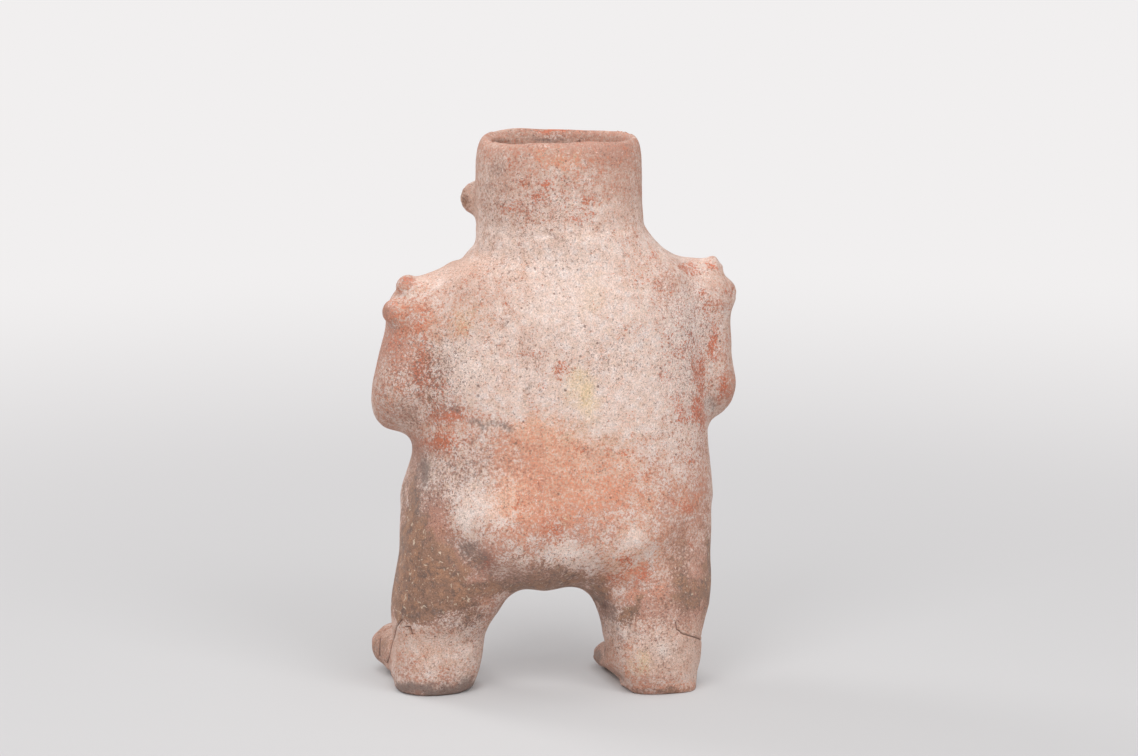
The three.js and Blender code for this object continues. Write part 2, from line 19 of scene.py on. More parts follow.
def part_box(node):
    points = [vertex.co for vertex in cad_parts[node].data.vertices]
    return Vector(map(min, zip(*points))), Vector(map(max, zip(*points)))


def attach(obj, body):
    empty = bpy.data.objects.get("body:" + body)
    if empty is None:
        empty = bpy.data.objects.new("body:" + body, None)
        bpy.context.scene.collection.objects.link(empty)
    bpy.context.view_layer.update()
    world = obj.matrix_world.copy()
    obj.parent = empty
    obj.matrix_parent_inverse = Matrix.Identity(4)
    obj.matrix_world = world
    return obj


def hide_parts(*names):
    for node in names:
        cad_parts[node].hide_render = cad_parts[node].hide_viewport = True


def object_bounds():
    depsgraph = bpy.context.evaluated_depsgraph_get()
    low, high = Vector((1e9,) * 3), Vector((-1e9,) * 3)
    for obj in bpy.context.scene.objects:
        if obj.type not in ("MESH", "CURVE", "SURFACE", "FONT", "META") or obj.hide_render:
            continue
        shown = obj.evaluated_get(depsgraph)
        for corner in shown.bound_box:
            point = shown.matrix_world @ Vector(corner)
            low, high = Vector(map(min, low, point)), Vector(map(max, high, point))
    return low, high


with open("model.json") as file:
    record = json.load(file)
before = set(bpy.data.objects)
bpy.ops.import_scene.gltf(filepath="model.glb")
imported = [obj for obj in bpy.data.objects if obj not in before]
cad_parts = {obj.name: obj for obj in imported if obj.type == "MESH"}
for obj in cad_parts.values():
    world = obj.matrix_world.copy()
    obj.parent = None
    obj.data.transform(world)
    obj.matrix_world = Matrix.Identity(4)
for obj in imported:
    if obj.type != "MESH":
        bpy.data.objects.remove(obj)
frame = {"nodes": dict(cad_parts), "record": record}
cad_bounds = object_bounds()

MM = 0.001

# The photograph's frame in pixels, and its camera.
PHOTO_WIDTH, PHOTO_HEIGHT = 1138, 756
CAMERA_PLACE = Vector((0.4236, 1.7257, 0.4884))
CAMERA_WAY = Vector((-0.2381, -0.9549, -0.1777)).normalized()
LENS, SENSOR = 105, 36
FOCAL_PIXELS = LENS / SENSOR * PHOTO_WIDTH

# The skin of clay.
VOXEL = 1.4 * MM
GROWTH = 0.4 * MM  # each solid grows by this, so that it meets its neighbours
WELD = 0.001 * MM

# The small pieces, and the share of the smoothing that each kind takes.
SMALL_PIECES = {"ear": 0.05, "eye": 0.02, "nose": 0.03, "mouth": 0.02, "pellet": 0.25}
SMALL_REACH = 6 * MM
HAND_FADE = (40 * MM, 24 * MM)  # from the tip of a hand, which keeps its shape up to the second
HAND_RISE = 40 * MM  # how far a hand lies above the lowest point of its arm
HAND_CALM = 0.8
SKIN_ROUNDS = 60  # of smoothing, which takes the solids' facets away
JOINT_ROUNDS = 170
JOINT_REACH = 16 * MM
SKIN_WEIGHT = 0.5  # the share of the way to its neighbours that a point moves in a round
FOOT_WEIGHT = 0.22
LOOSE_WEIGHT = 0.4  # from this weight up, a joint is smoothed in full
ANKLE_BAND = (30 * MM, 50 * MM)  # joints are smoothed from above the first height, in full from the second
FOREARM_FRONT = (-22 * MM, 2 * MM)  # the forearms' joints lie in front of this and above the next
FOREARM_HEIGHT = (115 * MM, 130 * MM)
FOREARM_CALM = 0.85
CHIN_ROOM = 20 * MM  # the forearms' calm ends this far below the neck
SEAM_REACH = 3 * MM
SEAM_ROUNDS = 4
RIM_BAND = 13 * MM  # the lip keeps its shape over this height

# Lumps left by the hand: how long each is and how far it stands out.
LUMPS = [(46 * MM, 0.75 * MM), (21 * MM, 0.4 * MM), (9 * MM, 0.16 * MM), (4.2 * MM, 0.07 * MM)]

BODY = "body"
CRACK_WIDTH = 0.42 * MM
CRACK_DEPTH = 0.9 * MM
INCISION_WIDTH = 0.95 * MM
INCISION_DEPTH = 1.5 * MM
TOE_LENGTH = 15 * MM
FINGER_LENGTH = 16 * MM
FINGER_GROOVE_WIDTH = 0.8 * MM
FINGER_GROOVE_DEPTH = 1.1 * MM
SLIT_WIDTH = 0.75 * MM
SLIT_DEPTH = 1.2 * MM
SLIT_END = 0.92  # of the half width of the eye or the mouth
TOE_LINE_WIDTH = 0.5 * MM
TOE_LINE_DEPTH = 0.8 * MM
FADE_OUT = 2.5 * MM  # how much narrower a groove gets towards its end
LINE_REACH = 2.6  # how many of its widths a line's finer faces cover
FAR = 1.0  # stands for a place that a line doesn't touch
CUT_SLACK = 0.05 * MM
FACE_SWELL = 1.3 * MM  # how far the eyes and the mouth stand out beyond their solids


def srgb(red, green, blue):
    """A colour given as it looks on screen, from 0 to 255, in the linear form that Blender uses."""
    def linear(value):
        share = value / 255
        return share / 12.92 if share <= 0.04045 else ((share + 0.055) / 1.055) ** 2.4
    return (linear(red), linear(green), linear(blue), 1)


# Creases and soft hollows pressed into the back: a path in pixels, its half width in pixels and its depth.
# A depth below zero stands out.
CREASES = [
    ([(448, 541), (466, 560), (490, 575), (520, 580)], 9, 1.6 * MM),
    ([(556, 500), (558, 530), (556, 556)], 13, 1.3 * MM),
    ([(598, 566), (618, 586), (640, 592)], 8, 1.0 * MM),
    ([(468, 589), (486, 588), (500, 587)], 2.5, 0.6 * MM),
    ([(404, 630), (412, 635)], 3, 0.8 * MM),
    ([(604, 674), (612, 684), (622, 690)], 9, 2.5 * MM),
    ([(478, 520), (492, 545)], 22, -1.0 * MM),
    ([(739, 280), (740, 294)], 7, 4.5 * MM),
    ([(722, 258), (724, 268)], 5, 2.2 * MM),
    ([(600, 545), (620, 530)], 20, -0.8 * MM),
]

# Where the clay is moved about in the picture's plane, to follow the outline: across, down, half width,
# half height, and how far it moves to the right and down.
NUDGES = [
    (592, 650, 8, 9, 4, 1), (596, 642, 7, 6, 4, 0), (605, 665, 6, 5, -4, 0), (612, 679, 9, 8, 9, 0),
    (376, 645, 14, 22, 3, 0), (375, 630, 8, 6, 3, 0), (380, 664, 8, 5, 2.5, 0), (688, 690, 10, 6, 4, 3),
    (700, 671, 8, 12, -3, 0), (408, 458, 10, 22, 3, 0), (396, 548, 10, 18, 4, 0),
    (709, 530, 10, 24, 3, 0), (544, 588, 14, 5, 0, 2.5), (498, 142, 11, 4.5, 4, -4),
    (734, 362, 8, 22, -3, 0), (472, 236, 8, 14, 3, 0), (651, 229, 10, 13, -4, 0),
    (428, 269, 12, 6, 0, -2), (458, 255, 9, 6, 2, 3), (392, 681, 6, 6, 2, 0),
]

# Hairline cracks: paths in pixels.
CRACKS = [
    [(676, 622), (677, 629), (683, 634), (690, 636), (700, 639), (705, 643)],
    [(401, 620), (396, 627), (394, 636), (391, 645), (389, 655), (387, 663)],
    [(405, 627), (410, 627), (412, 634)],
    [(702, 636), (706, 640), (706, 644)],
]

# The toe's incision that shows beside the left heel, and where the toes' grooves stop short: pixel, radius.
TOE_LINE = [(380, 638), (379, 646), (379, 656)]
GROOVE_STOP = (387, 625, 9)

# Small pits: pixel, radius in pixels and depth.
PITS = [
    (617, 629, 2.4, 0.8), (629, 627, 2.6, 0.8), (662, 659, 2.4, 0.8), (653, 665, 3.0, 0.6),
    (645, 651, 3, 0.6), (667, 654, 2, 0.7), (578, 167, 2, 0.7), (478, 259, 2, 0.5), (447, 370, 2, 0.5),
    (599, 297, 2, 0.4), (604, 606, 5, 0.8), (480, 617, 4, 0.8), (442, 618, 2, 0.5), (518, 625, 2, 0.6),
    (468, 641, 2.4, 0.7),
]

# Where each finish lies, and where shade is painted: its level all over, and marks in pixels as (across,
# down, half width, half height, how much).
FINISHES_AND_SHADE = {
    "crust": (0.62, [
        # Among these, the marks at (486, 566) and (540, 582) thin the crust on the underside of the seat as
        # painted shade.
        (570, 300, 95, 85, 0.3), (500, 262, 60, 36, 0.15), (610, 390, 65, 45, 0.3),
        (505, 385, 45, 35, 0.2), (465, 520, 18, 24, 0.35), (490, 505, 22, 20, 0.2),
        (575, 555, 36, 14, 0.25), (632, 540, 10, 12, 0.3), (400, 335, 24, 36, -0.22),
        (424, 368, 8, 24, -0.2), (455, 368, 22, 26, 0.2), (452, 415, 24, 14, -0.3),
        (436, 445, 12, 8, -0.3), (412, 446, 12, 12, -0.2), (392, 392, 18, 24, 0.06),
        (690, 330, 34, 60, 0.2), (707, 355, 14, 50, -0.06), (700, 500, 12, 24, -0.15),
        (640, 575, 16, 14, -0.25), (610, 580, 12, 10, -0.2), (555, 480, 60, 50, -0.14),
        (545, 440, 40, 14, -0.1), (550, 158, 36, 16, -0.14), (615, 175, 38, 40, -0.08),
        (563, 130, 40, 6, -0.2), (500, 190, 30, 40, 0.08), (556, 250, 90, 16, 0.15),
        (435, 655, 45, 30, 0.2), (665, 655, 40, 30, 0.32), (486, 566, 14, 12, -0.3),
        (690, 570, 30, 60, -0.15), (660, 610, 36, 14, -0.12), (404, 281, 5, 6, -0.4),
        (389, 310, 7, 8, -0.4), (418, 470, 10, 40, -0.1), (695, 415, 12, 14, -0.15),
        (640, 480, 50, 40, -0.04), (500, 490, 22, 40, 0.05), (426, 568, 34, 44, -0.75),
        (452, 596, 30, 14, -0.4), (540, 582, 60, 10, -0.22), (600, 600, 12, 16, -0.3),
        (380, 645, 10, 18, -0.25), (550, 532, 34, 12, -0.2), (440, 520, 12, 14, -0.25),
        (440, 466, 30, 34, 0.04), (640, 600, 16, 14, -0.25),
    ]),
    "red": (0.06, [
        (688, 269, 9, 6, 0.85), (654, 256, 3, 6, 0.6), (711, 268, 7, 4, 0.6), (705, 294, 8, 5, 0.6),
        (729, 290, 4, 4, 0.7), (728, 304, 4, 4, 0.7), (698, 366, 7, 22, 1.0), (714, 345, 4, 18, 1.0),
        (723, 388, 6, 12, 0.9), (667, 343, 5, 6, 0.8), (669, 358, 7, 5, 0.8), (668, 379, 6, 5, 0.8),
        (690, 340, 4, 6, 0.5), (664, 334, 3, 3, 0.5), (673, 334, 3, 3, 0.6), (700, 310, 18, 14, 0.3),
        (697, 412, 8, 14, 0.8), (676, 410, 5, 6, 0.7), (682, 420, 6, 6, 0.7), (692, 456, 6, 8, 0.5),
        (450, 414, 20, 8, 0.55), (442, 441, 20, 9, 0.65), (404, 281, 4, 5, 0.6), (389, 310, 6, 7, 0.2),
        (408, 320, 16, 30, 0.2), (421, 318, 5, 30, 0.25), (424, 368, 8, 22, 0.5),
        (394, 345, 12, 20, 0.25), (381, 392, 7, 9, 0.4), (509, 304, 3, 3, 0.5), (531, 354, 16, 4, 0.6),
        (560, 372, 8, 9, 0.8), (541, 386, 5, 4, 0.5), (636, 296, 4, 3, 0.35), (445, 381, 5, 4, 0.3),
        (530, 405, 7, 6, 0.35), (470, 368, 34, 30, 0.12), (508, 163, 4, 5, 0.45),
        (519, 184, 5, 6, 0.55), (545, 184, 5, 5, 0.6), (536, 196, 9, 4, 0.5), (512, 208, 9, 6, 0.5),
        (577, 220, 5, 5, 0.55), (592, 218, 4, 6, 0.55), (592, 202, 14, 7, 0.3), (556, 131, 18, 2, 0.9),
        (690, 508, 8, 12, 0.5), (676, 504, 7, 5, 0.35), (692, 546, 4, 5, 0.5), (625, 562, 8, 8, 0.45),
        (616, 579, 10, 5, 0.5), (641, 578, 8, 8, 0.45), (488, 564, 8, 9, 0.7), (553, 528, 12, 9, 0.45),
        (536, 484, 5, 6, 0.4), (517, 506, 6, 8, 0.4), (579, 451, 6, 10, 0.35), (684, 615, 16, 9, 0.15),
        (627, 649, 6, 5, 0.5), (648, 686, 14, 4, 0.25), (686, 684, 12, 5, 0.2), (626, 452, 14, 4, 0.45),
        (646, 471, 6, 4, 0.4), (632, 412, 4, 6, 0.35), (436, 385, 12, 16, 0.3), (672, 290, 4, 10, 0.5),
        (661, 284, 3, 8, 0.5), (678, 322, 4, 8, 0.4), (681, 352, 5, 10, 0.5), (660, 660, 44, 34, -0.16),
        (676, 398, 5, 10, 0.7), (663, 372, 4, 6, 0.6), (700, 385, 6, 6, 0.5),
    ]),
    "peach": (0.12, [
        (545, 445, 48, 22, 0.6), (560, 485, 62, 40, 0.6), (520, 500, 30, 34, 0.4),
        (620, 490, 60, 40, 0.3), (412, 320, 30, 40, 0.35), (395, 395, 20, 20, 0.3),
        (600, 170, 44, 34, 0.14), (552, 160, 26, 10, 0.35), (458, 318, 30, 24, 0.3),
        (655, 560, 40, 40, 0.25), (632, 656, 14, 24, 0.4), (566, 165, 14, 6, 0.4),
        (430, 640, 30, 26, 0.3), (676, 660, 30, 40, 0.12), (445, 430, 34, 18, 0.3),
        (535, 427, 20, 12, 0.5), (579, 455, 10, 12, 0.3), (620, 565, 18, 16, 0.4),
        (690, 505, 12, 16, 0.35), (700, 350, 20, 50, 0.15), (660, 687, 40, 6, 0.5),
    ]),
    "yellow": (0.0, [
        (580, 386, 18, 22, 0.62), (590, 404, 14, 20, 0.55), (577, 370, 9, 8, 0.4), (565, 522, 8, 7, 0.8),
        (640, 666, 14, 16, 0.65), (560, 437, 30, 10, 0.3), (470, 300, 26, 40, 0.25),
        (440, 668, 26, 10, 0.25), (594, 300, 26, 30, 0.25), (560, 155, 40, 10, 0.5),
        (650, 500, 30, 20, 0.2), (460, 322, 20, 14, 0.35), (425, 560, 30, 40, 0.2),
        (610, 440, 20, 20, 0.2),
    ]),
    "tan": (0.14, [
        # Among these, the tall narrow marks at (378, 350), (412, 470), (708, 620) and (735, 350) are
        # painted shade along the outline, and (520, 577) is painted shade on the underside of the seat.
        (500, 180, 30, 50, 0.35), (560, 175, 50, 45, 0.25), (620, 185, 34, 60, 0.5),
        (556, 140, 90, 16, 0.6), (440, 266, 40, 12, 0.5), (465, 296, 44, 34, 0.5),
        (718, 282, 14, 18, 0.4), (400, 410, 20, 22, 0.35), (467, 198, 10, 24, 1.0),
        (380, 645, 14, 22, 1.0), (605, 655, 14, 20, 0.7), (720, 405, 14, 20, 0.4),
        (690, 570, 26, 60, 0.5), (600, 490, 50, 50, 0.1), (425, 655, 36, 30, 0.25),
        (665, 655, 40, 34, 0.45), (708, 620, 12, 60, 0.6), (378, 350, 8, 70, 0.4),
        (735, 350, 8, 70, 0.3), (412, 470, 8, 60, 0.5), (645, 600, 30, 20, 0.4),
        (520, 577, 70, 12, 0.5),
    ]),
    "brown": (0.0, [
        # Among these, the marks at (474, 560), (500, 587), (540, 560), (540, 588), (552, 578), (560, 570)
        # and (575, 578) are painted shade on the underside of the seat, and the tall narrow marks at (404,
        # 560), (412, 480), (709, 560) and (709, 590) are painted shade along the outline. (435, 690) and
        # (664, 690) darken the bottom of the heels.
        (428, 566, 36, 32, 0.9), (420, 530, 14, 14, 0.4), (420, 604, 28, 20, 0.85),
        (452, 592, 34, 14, 0.7), (540, 588, 46, 8, 0.5), (500, 587, 34, 10, 0.25),
        (404, 560, 12, 60, 0.4), (601, 596, 12, 16, 0.5), (635, 605, 9, 7, 0.6), (641, 596, 6, 5, 0.6),
        (630, 612, 14, 6, 0.4), (709, 590, 6, 60, 0.3), (470, 612, 20, 12, 0.3),
        (690, 600, 24, 20, 0.25), (575, 578, 24, 8, 0.25), (474, 560, 16, 12, 0.3),
        (625, 618, 12, 8, 0.3), (682, 560, 20, 40, 0.42), (640, 622, 20, 6, 0.3), (467, 198, 8, 20, 0.5),
        (690, 600, 24, 30, 0.2), (560, 570, 50, 12, 0.15), (415, 500, 10, 30, 0.3),
        (540, 560, 30, 10, 0.15), (428, 372, 6, 22, 0.3), (428, 398, 9, 12, 0.35),
        (412, 480, 10, 40, 0.3), (599, 655, 10, 12, 0.5), (387, 309, 5, 7, 0.5),
        (709, 560, 6, 50, 0.35), (380, 645, 12, 20, 0.45), (435, 690, 40, 5, 0.5),
        (664, 690, 34, 4, 0.5), (552, 578, 50, 13, 0.25),
    ]),
    "grey": (0.02, [
        # Among these, the marks at (466, 548), (485, 562), (500, 582), (552, 576) and (560, 568) are
        # painted shade on the underside of the seat, and (540, 236) is painted shade along the step below
        # the neck. (402, 688), (435, 690), (466, 682) and (650, 690) darken the bottom of the heels.
        (430, 470, 12, 24, 0.4), (470, 465, 24, 14, 0.25), (466, 548, 16, 9, 0.6),
        (485, 562, 14, 10, 0.5), (552, 576, 50, 11, 0.22), (455, 618, 26, 14, 0.3),
        (500, 582, 30, 6, 0.15), (610, 616, 10, 14, 0.5), (600, 598, 8, 10, 0.35),
        (435, 690, 46, 6, 1.2), (466, 682, 12, 8, 0.7), (402, 688, 10, 5, 0.5),
        (405, 412, 16, 14, 0.25), (436, 382, 16, 26, 0.1), (424, 472, 5, 14, 0.5),
        (421, 505, 8, 26, 0.35), (388, 314, 4, 6, 0.4), (466, 480, 26, 12, 0.25),
        (650, 690, 30, 5, 0.5), (499, 166, 8, 12, 0.3), (488, 200, 10, 40, 0.15),
        (690, 575, 20, 40, 0.12), (546, 141, 22, 3, 0.7), (655, 612, 34, 12, 0.2),
        (713, 404, 10, 8, 0.4), (507, 324, 4, 4, 0.5), (531, 387, 5, 5, 0.5), (618, 650, 5, 5, 0.2),
        (500, 605, 8, 30, 0.2), (625, 636, 14, 8, 0.35), (452, 408, 8, 5, 0.5), (540, 236, 60, 3, 0.3),
        (440, 500, 16, 16, 0.3), (560, 568, 50, 8, 0.1), (682, 580, 24, 40, 0.1),
        (597, 657, 9, 10, 0.5), (378, 648, 8, 14, 0.4), (414, 470, 12, 44, 0.25),
    ]),
    "white": (0.03, [
        (545, 310, 44, 50, 0.3), (600, 290, 44, 55, 0.2), (465, 523, 9, 16, 0.5), (458, 545, 8, 8, 0.3),
        (480, 508, 16, 12, 0.3), (575, 552, 22, 6, 0.5), (560, 543, 12, 5, 0.3), (503, 560, 7, 6, 0.4),
        (633, 537, 7, 10, 0.35), (625, 395, 40, 36, 0.35), (472, 372, 20, 18, 0.45),
        (552, 137, 9, 2.5, 0.9), (440, 272, 20, 8, 0.25), (711, 408, 7, 7, 0.5),
        (450, 355, 14, 10, 0.35), (655, 598, 26, 8, 0.3), (396, 375, 14, 18, 0.35),
        (664, 650, 14, 10, 0.5), (600, 430, 20, 10, 0.3), (455, 392, 12, 10, 0.3),
        (640, 640, 20, 10, 0.25), (500, 410, 30, 12, 0.2), (690, 335, 28, 60, 0.6),
        (400, 395, 14, 24, 0.3), (620, 622, 8, 14, 0.4), (440, 652, 12, 10, 0.2),
    ]),
    "specks": (0.21, [
        (440, 375, 24, 34, 0.8), (470, 350, 50, 40, 0.2), (610, 355, 34, 24, 0.35),
        (500, 265, 60, 22, 0.2), (690, 380, 30, 60, 0.35), (455, 470, 36, 30, 0.5),
        (400, 375, 26, 44, 0.45), (655, 620, 44, 40, 0.45), (535, 205, 60, 30, 0.25),
        (430, 570, 40, 40, -0.2), (560, 480, 60, 40, -0.1), (470, 612, 28, 16, 0.6),
        (540, 560, 40, 14, 0.3), (480, 645, 16, 26, 0.4), (445, 505, 24, 24, 0.3),
        (560, 310, 50, 50, -0.15), (500, 340, 30, 20, 0.15),
    ]),
    "craze": (0.0, [
        (686, 300, 26, 40, 0.9), (690, 360, 26, 40, 0.8), (662, 290, 10, 30, 0.7),
        (684, 410, 26, 20, 0.6), (440, 365, 24, 30, 0.4), (700, 450, 12, 30, 0.4),
        (540, 215, 60, 30, 0.25), (560, 195, 50, 20, 0.25),
    ]),
}

# The sides that the photograph hides are taken to have weathered alike: the marks above this size, in
# square pixels, show there too, moved about and fainter.
LARGE_MARK = 150
HIDDEN_SHARE = 0.75

# How the edge of what the photograph shows is found and faded.
SEEN_SLACK = 1.5 * MM
SEEN_ROUNDS = 110
SEEN_FADE = (0.12, 0.6)

# How far the marks' edges wander, in pixels, and how far the hidden copies of the large marks drift.
WANDER_PIXELS = 6
FINE_PIXELS = 3
DRIFT_PIXELS = 45
CLOUDING = 0.16  # of every level, in clouds of no mark

# Ridges lose their crust, and hollows darken with dirt and painted shade: over how much smoothing a ridge
# is told, how high it is, and the change in level.
PROUD_ROUNDS = 30
PROUD_HEIGHT = 0.45 * MM
WEAR = 0.3
DIRT_AND_SHADE = 0.25
GROOVE_DEPTH = 0.9 * MM

# The grey stain that wanders across the back above the left hip: a path, its half width and how much.
STAIN_PATH = [(468, 422), (476, 420), (485, 428), (494, 422), (504, 425), (514, 430)]
STAIN_HALF_WIDTH = 3.4
STAIN_AMOUNT = 0.6
STAIN_DROP = [(482, 429), (477, 438), (474, 446)]


class Camera:
    """The photograph's camera: where a point of the object lies in the picture."""
    right = CAMERA_WAY.cross(Vector((0, 0, 1))).normalized()
    up = right.cross(CAMERA_WAY)

    @classmethod
    def pixels(cls, points):
        away = points - np.array(CAMERA_PLACE)
        depth = away @ np.array(CAMERA_WAY)
        across = PHOTO_WIDTH / 2 + FOCAL_PIXELS * (away @ np.array(cls.right)) / depth
        down = PHOTO_HEIGHT / 2 - FOCAL_PIXELS * (away @ np.array(cls.up)) / depth
        return np.stack([across, down], axis=1)


def read(items, field, width=3, kind=float):
    """One field of each of a mesh's items, a row each."""
    values = np.empty(width * len(items), kind)
    items.foreach_get(field, values)
    return values.reshape(-1, width)


def points_of(mesh):
    return read(mesh.vertices, "co")


def normals_of(mesh):
    return read(mesh.vertices, "normal")


def edges_of(mesh):
    return read(mesh.edges, "vertices", 2, int)


@contextmanager
def editing(mesh):
    """The mesh opened for editing, and written back after it."""
    shape = bmesh.new()
    shape.from_mesh(mesh)
    yield shape
    shape.to_mesh(mesh)
    shape.free()
    mesh.update()


def move_to(mesh, points):
    mesh.vertices.foreach_set("co", points.ravel())
    mesh.update()


def averaged(values, edges):
    """Each point's values, averaged over its neighbours."""
    first, second = edges.T
    size = len(values)
    count = np.maximum(np.bincount(edges.ravel(), minlength=size), 1)
    columns = [
        np.bincount(first, column[second], size) + np.bincount(second, column[first], size)
        for column in values.T
    ]
    return (np.stack(columns) / count).T


def relaxed(values, edges, weight, rounds):
    """The values after rounds of moving each towards its neighbours' average, by its weight."""
    for _ in range(rounds):
        values = values + weight[:, None] * (averaged(values, edges) - values)
    return values


def softened(values, edges, rounds):
    """One number a point, softened over its neighbours."""
    return relaxed(values[:, None], edges, np.full(len(values), 0.6), rounds)[:, 0]


def ramp(low, high, values):
    """0 at low and 1 at high, on a smooth curve."""
    share = np.clip((values - low) / (high - low), 0, 1)
    return share * share * (3 - 2 * share)


def rough(points, size, seed):
    """Smooth noise from -1 to 1, whose bumps are about as long as size."""
    shift = Vector((seed * 7.31, seed * 3.17, seed * 5.73))
    return np.array([noise.noise(Vector(p) / size + shift) for p in points])


def bell(spots, across, down, half_width, half_height):
    """1 at the middle of a mark, falling away over its half width and half height."""
    gap = ((spots[:, 0] - across) / half_width) ** 2 + ((spots[:, 1] - down) / half_height) ** 2
    return np.exp(-gap)


def path_distance(spots, path):
    """How far each spot lies from a path, in the path's own units."""
    nearest = np.full(len(spots), np.inf)
    for start, end in zip(path, path[1:]):
        start, end = np.array(start, float), np.array(end, float)
        run = end - start
        share = np.clip((spots - start) @ run / (run @ run), 0, 1)
        gap = np.linalg.norm(spots - start - share[:, None] * run, axis=1)
        nearest = np.minimum(nearest, gap)
    return nearest


class Solids:
    """The CAD solids, for finding which one lies nearest."""

    def __init__(self):
        self.names = sorted(frame["nodes"])
        corners, faces, self.owners = [], [], []
        self.trees = {}
        for number, name in enumerate(self.names):
            mesh = frame["nodes"][name].data
            own_corners = [v.co.copy() for v in mesh.vertices]
            own_faces = [tuple(p.vertices) for p in mesh.polygons]
            self.trees[name] = BVHTree.FromPolygons(own_corners, own_faces)
            faces += [tuple(len(corners) + i for i in face) for face in own_faces]
            self.owners += [number] * len(own_faces)
            corners += own_corners
        self.tree = BVHTree.FromPolygons(corners, faces)

    def nearest(self, points):
        return np.array([self.owners[self.tree.find_nearest(p)[2]] for p in points.tolist()])

    def gaps(self, points, names, reach):
        """How far each point lies from each of the named solids, up to reach."""
        gaps = np.full((len(names), len(points)), reach)
        for row, name in zip(gaps, names):
            low, high = (np.array(corner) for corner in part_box(name))
            close = np.all((points > low - reach) & (points < high + reach), axis=1)
            for i in np.nonzero(close)[0].tolist():
                gap = self.trees[name].find_nearest(points[i].tolist(), reach)[3]
                if gap is not None:
                    row[i] = gap
        return gaps

    def meeting(self, points, names, reach):
        """1 where two of the named solids meet, falling to 0 at reach from the second one."""
        return 1 - np.sort(self.gaps(points, names, reach), axis=0)[1] / reach


solids = Solids()


def is_small(name):
    return any(word in name for word in SMALL_PIECES)


def fused_clay():
    """All the solids as one skin of small even faces."""
    together = bmesh.new()
    for name in solids.names:
        part = bmesh.new()
        part.from_mesh(frame["nodes"][name].data)
        bmesh.ops.remove_doubles(part, verts=part.verts, dist=WELD)
        part.normal_update()
        for vert, normal in [(v, v.normal.copy()) for v in part.verts]:
            vert.co += GROWTH * normal
        grown = bpy.data.meshes.new("grown")
        part.to_mesh(grown)
        part.free()
        together.from_mesh(grown)
        bpy.data.meshes.remove(grown)
    mesh = bpy.data.meshes.new("clay")
    together.to_mesh(mesh)
    together.free()
    lump = bpy.data.objects.new("clay", mesh)
    bpy.context.scene.collection.objects.link(lump)
    remesh = lump.modifiers.new("skin", "REMESH")
    remesh.mode = "VOXEL"
    remesh.voxel_size = VOXEL
    graph = bpy.context.evaluated_depsgraph_get()
    skin = bpy.data.meshes.new_from_object(lump.evaluated_get(graph))
    bpy.data.objects.remove(lump)
    bpy.data.meshes.remove(mesh)
    drop_bubbles(skin)
    return skin


def drop_bubbles(mesh):
    """Deletes the small closed voids that fusing leaves between the solids."""
    pairs = adjacent_faces(mesh)[0]
    island = islands(len(mesh.polygons), pairs)
    largest = np.argmax(np.bincount(island))
    with editing(mesh) as skin:
        skin.faces.ensure_lookup_table()
        stray = [skin.faces[i] for i in np.nonzero(island != largest)[0].tolist()]
        bmesh.ops.delete(skin, geom=stray, context="FACES")


def looseness(points, edges):
    """How freely each point is smoothed: less round small pieces, on toes and hands, and at the lip."""
    own = solids.nearest(points)
    weight = np.array([FOOT_WEIGHT if "foot" in name else SKIN_WEIGHT for name in solids.names])[own]
    rim = cad_bounds[1].z
    weight *= 0.8 + 0.2 * ramp(RIM_BAND, 1.6 * RIM_BAND, rim - points[:, 2])
    for side in ("left", "right"):
        low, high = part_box(f"{side}_arm")
        tip = low.x if side == "left" else high.x
        hand = ramp(*HAND_FADE, abs(points[:, 0] - tip))
        hand *= ramp(low.y + 24 * MM, low.y + 14 * MM, points[:, 1])
        hand *= ramp(28 * MM, 18 * MM, abs(points[:, 2] - low.z - HAND_RISE))
        weight *= 1 - HAND_CALM * hand
    weight = softened(weight, edges, 6)
    for word, least in SMALL_PIECES.items():
        names = [name for name in solids.names if word in name]
        gap = solids.gaps(points, names, SMALL_REACH).min(axis=0)
        weight *= least + (1 - least) * ramp(0.2 * SMALL_REACH, SMALL_REACH, gap)
    return weight


def seen_by_camera(mesh, points, edges):
    """1 on the skin that the photograph shows, fading out past its edges."""
    tree = BVHTree.FromPolygons(points.tolist(), [tuple(p.vertices) for p in mesh.polygons])
    seen = np.zeros(len(points))
    for i, point in enumerate(points.tolist()):
        way = Vector(point) - CAMERA_PLACE
        hit = tree.ray_cast(CAMERA_PLACE, way)[3]
        seen[i] = hit is not None and hit > way.length - SEEN_SLACK
    return ramp(*SEEN_FADE, softened(seen, edges, SEEN_ROUNDS))


class Line:
    """An incised line: where it lies, how wide it is and how deep."""

    def __init__(self, offset, width, depth):
        self.offset, self.width, self.depth = offset, width, depth

    def near(self, points, normals):
        return self.offset(points, normals) < LINE_REACH * self.width + VOXEL

    def dent(self, points, normals):
        share = self.offset(points, normals) / self.width
        return self.depth * np.exp(-np.minimum(share * share, 50))


# Where the rim droops at its corners, rises on its far side and dips, as the direction from the middle in
# radians, by how much, and over what angle.
RIM_CORNERS = [(0.15, 2.6 * MM), (3.0, 1.4 * MM)]
CORNER_SPREAD = 0.5
FAR_RIM_RISES = [(-1.1, 2.2 * MM), (-1.75, 1.4 * MM)]
RISE_SPREAD = 0.42
RIM_DIP = (1.35, 0.8 * MM)
DIP_SPREAD = 0.3
RIM_ROLL = 0.5 * MM  # of three even waves round the rim
ROLL_START = 1.9
RIM_FADE = (24 * MM, 3 * MM)  # below the rim, between which the wave grows to its full height

# The low step round the neck, where the collar was luted on.
NECK_STEP = 0.55 * MM


def grooves_between(first, last, offset, width, depth):
    """The four grooves that part five digits, evenly spaced between two places."""
    pitch = (last - first) / 5
    lines = []
    for i in range(4):
        place = first + (i + 1) * pitch
        lines.append(Line(lambda points, normals, at=place: offset(points, normals, at), width, depth))
    return lines


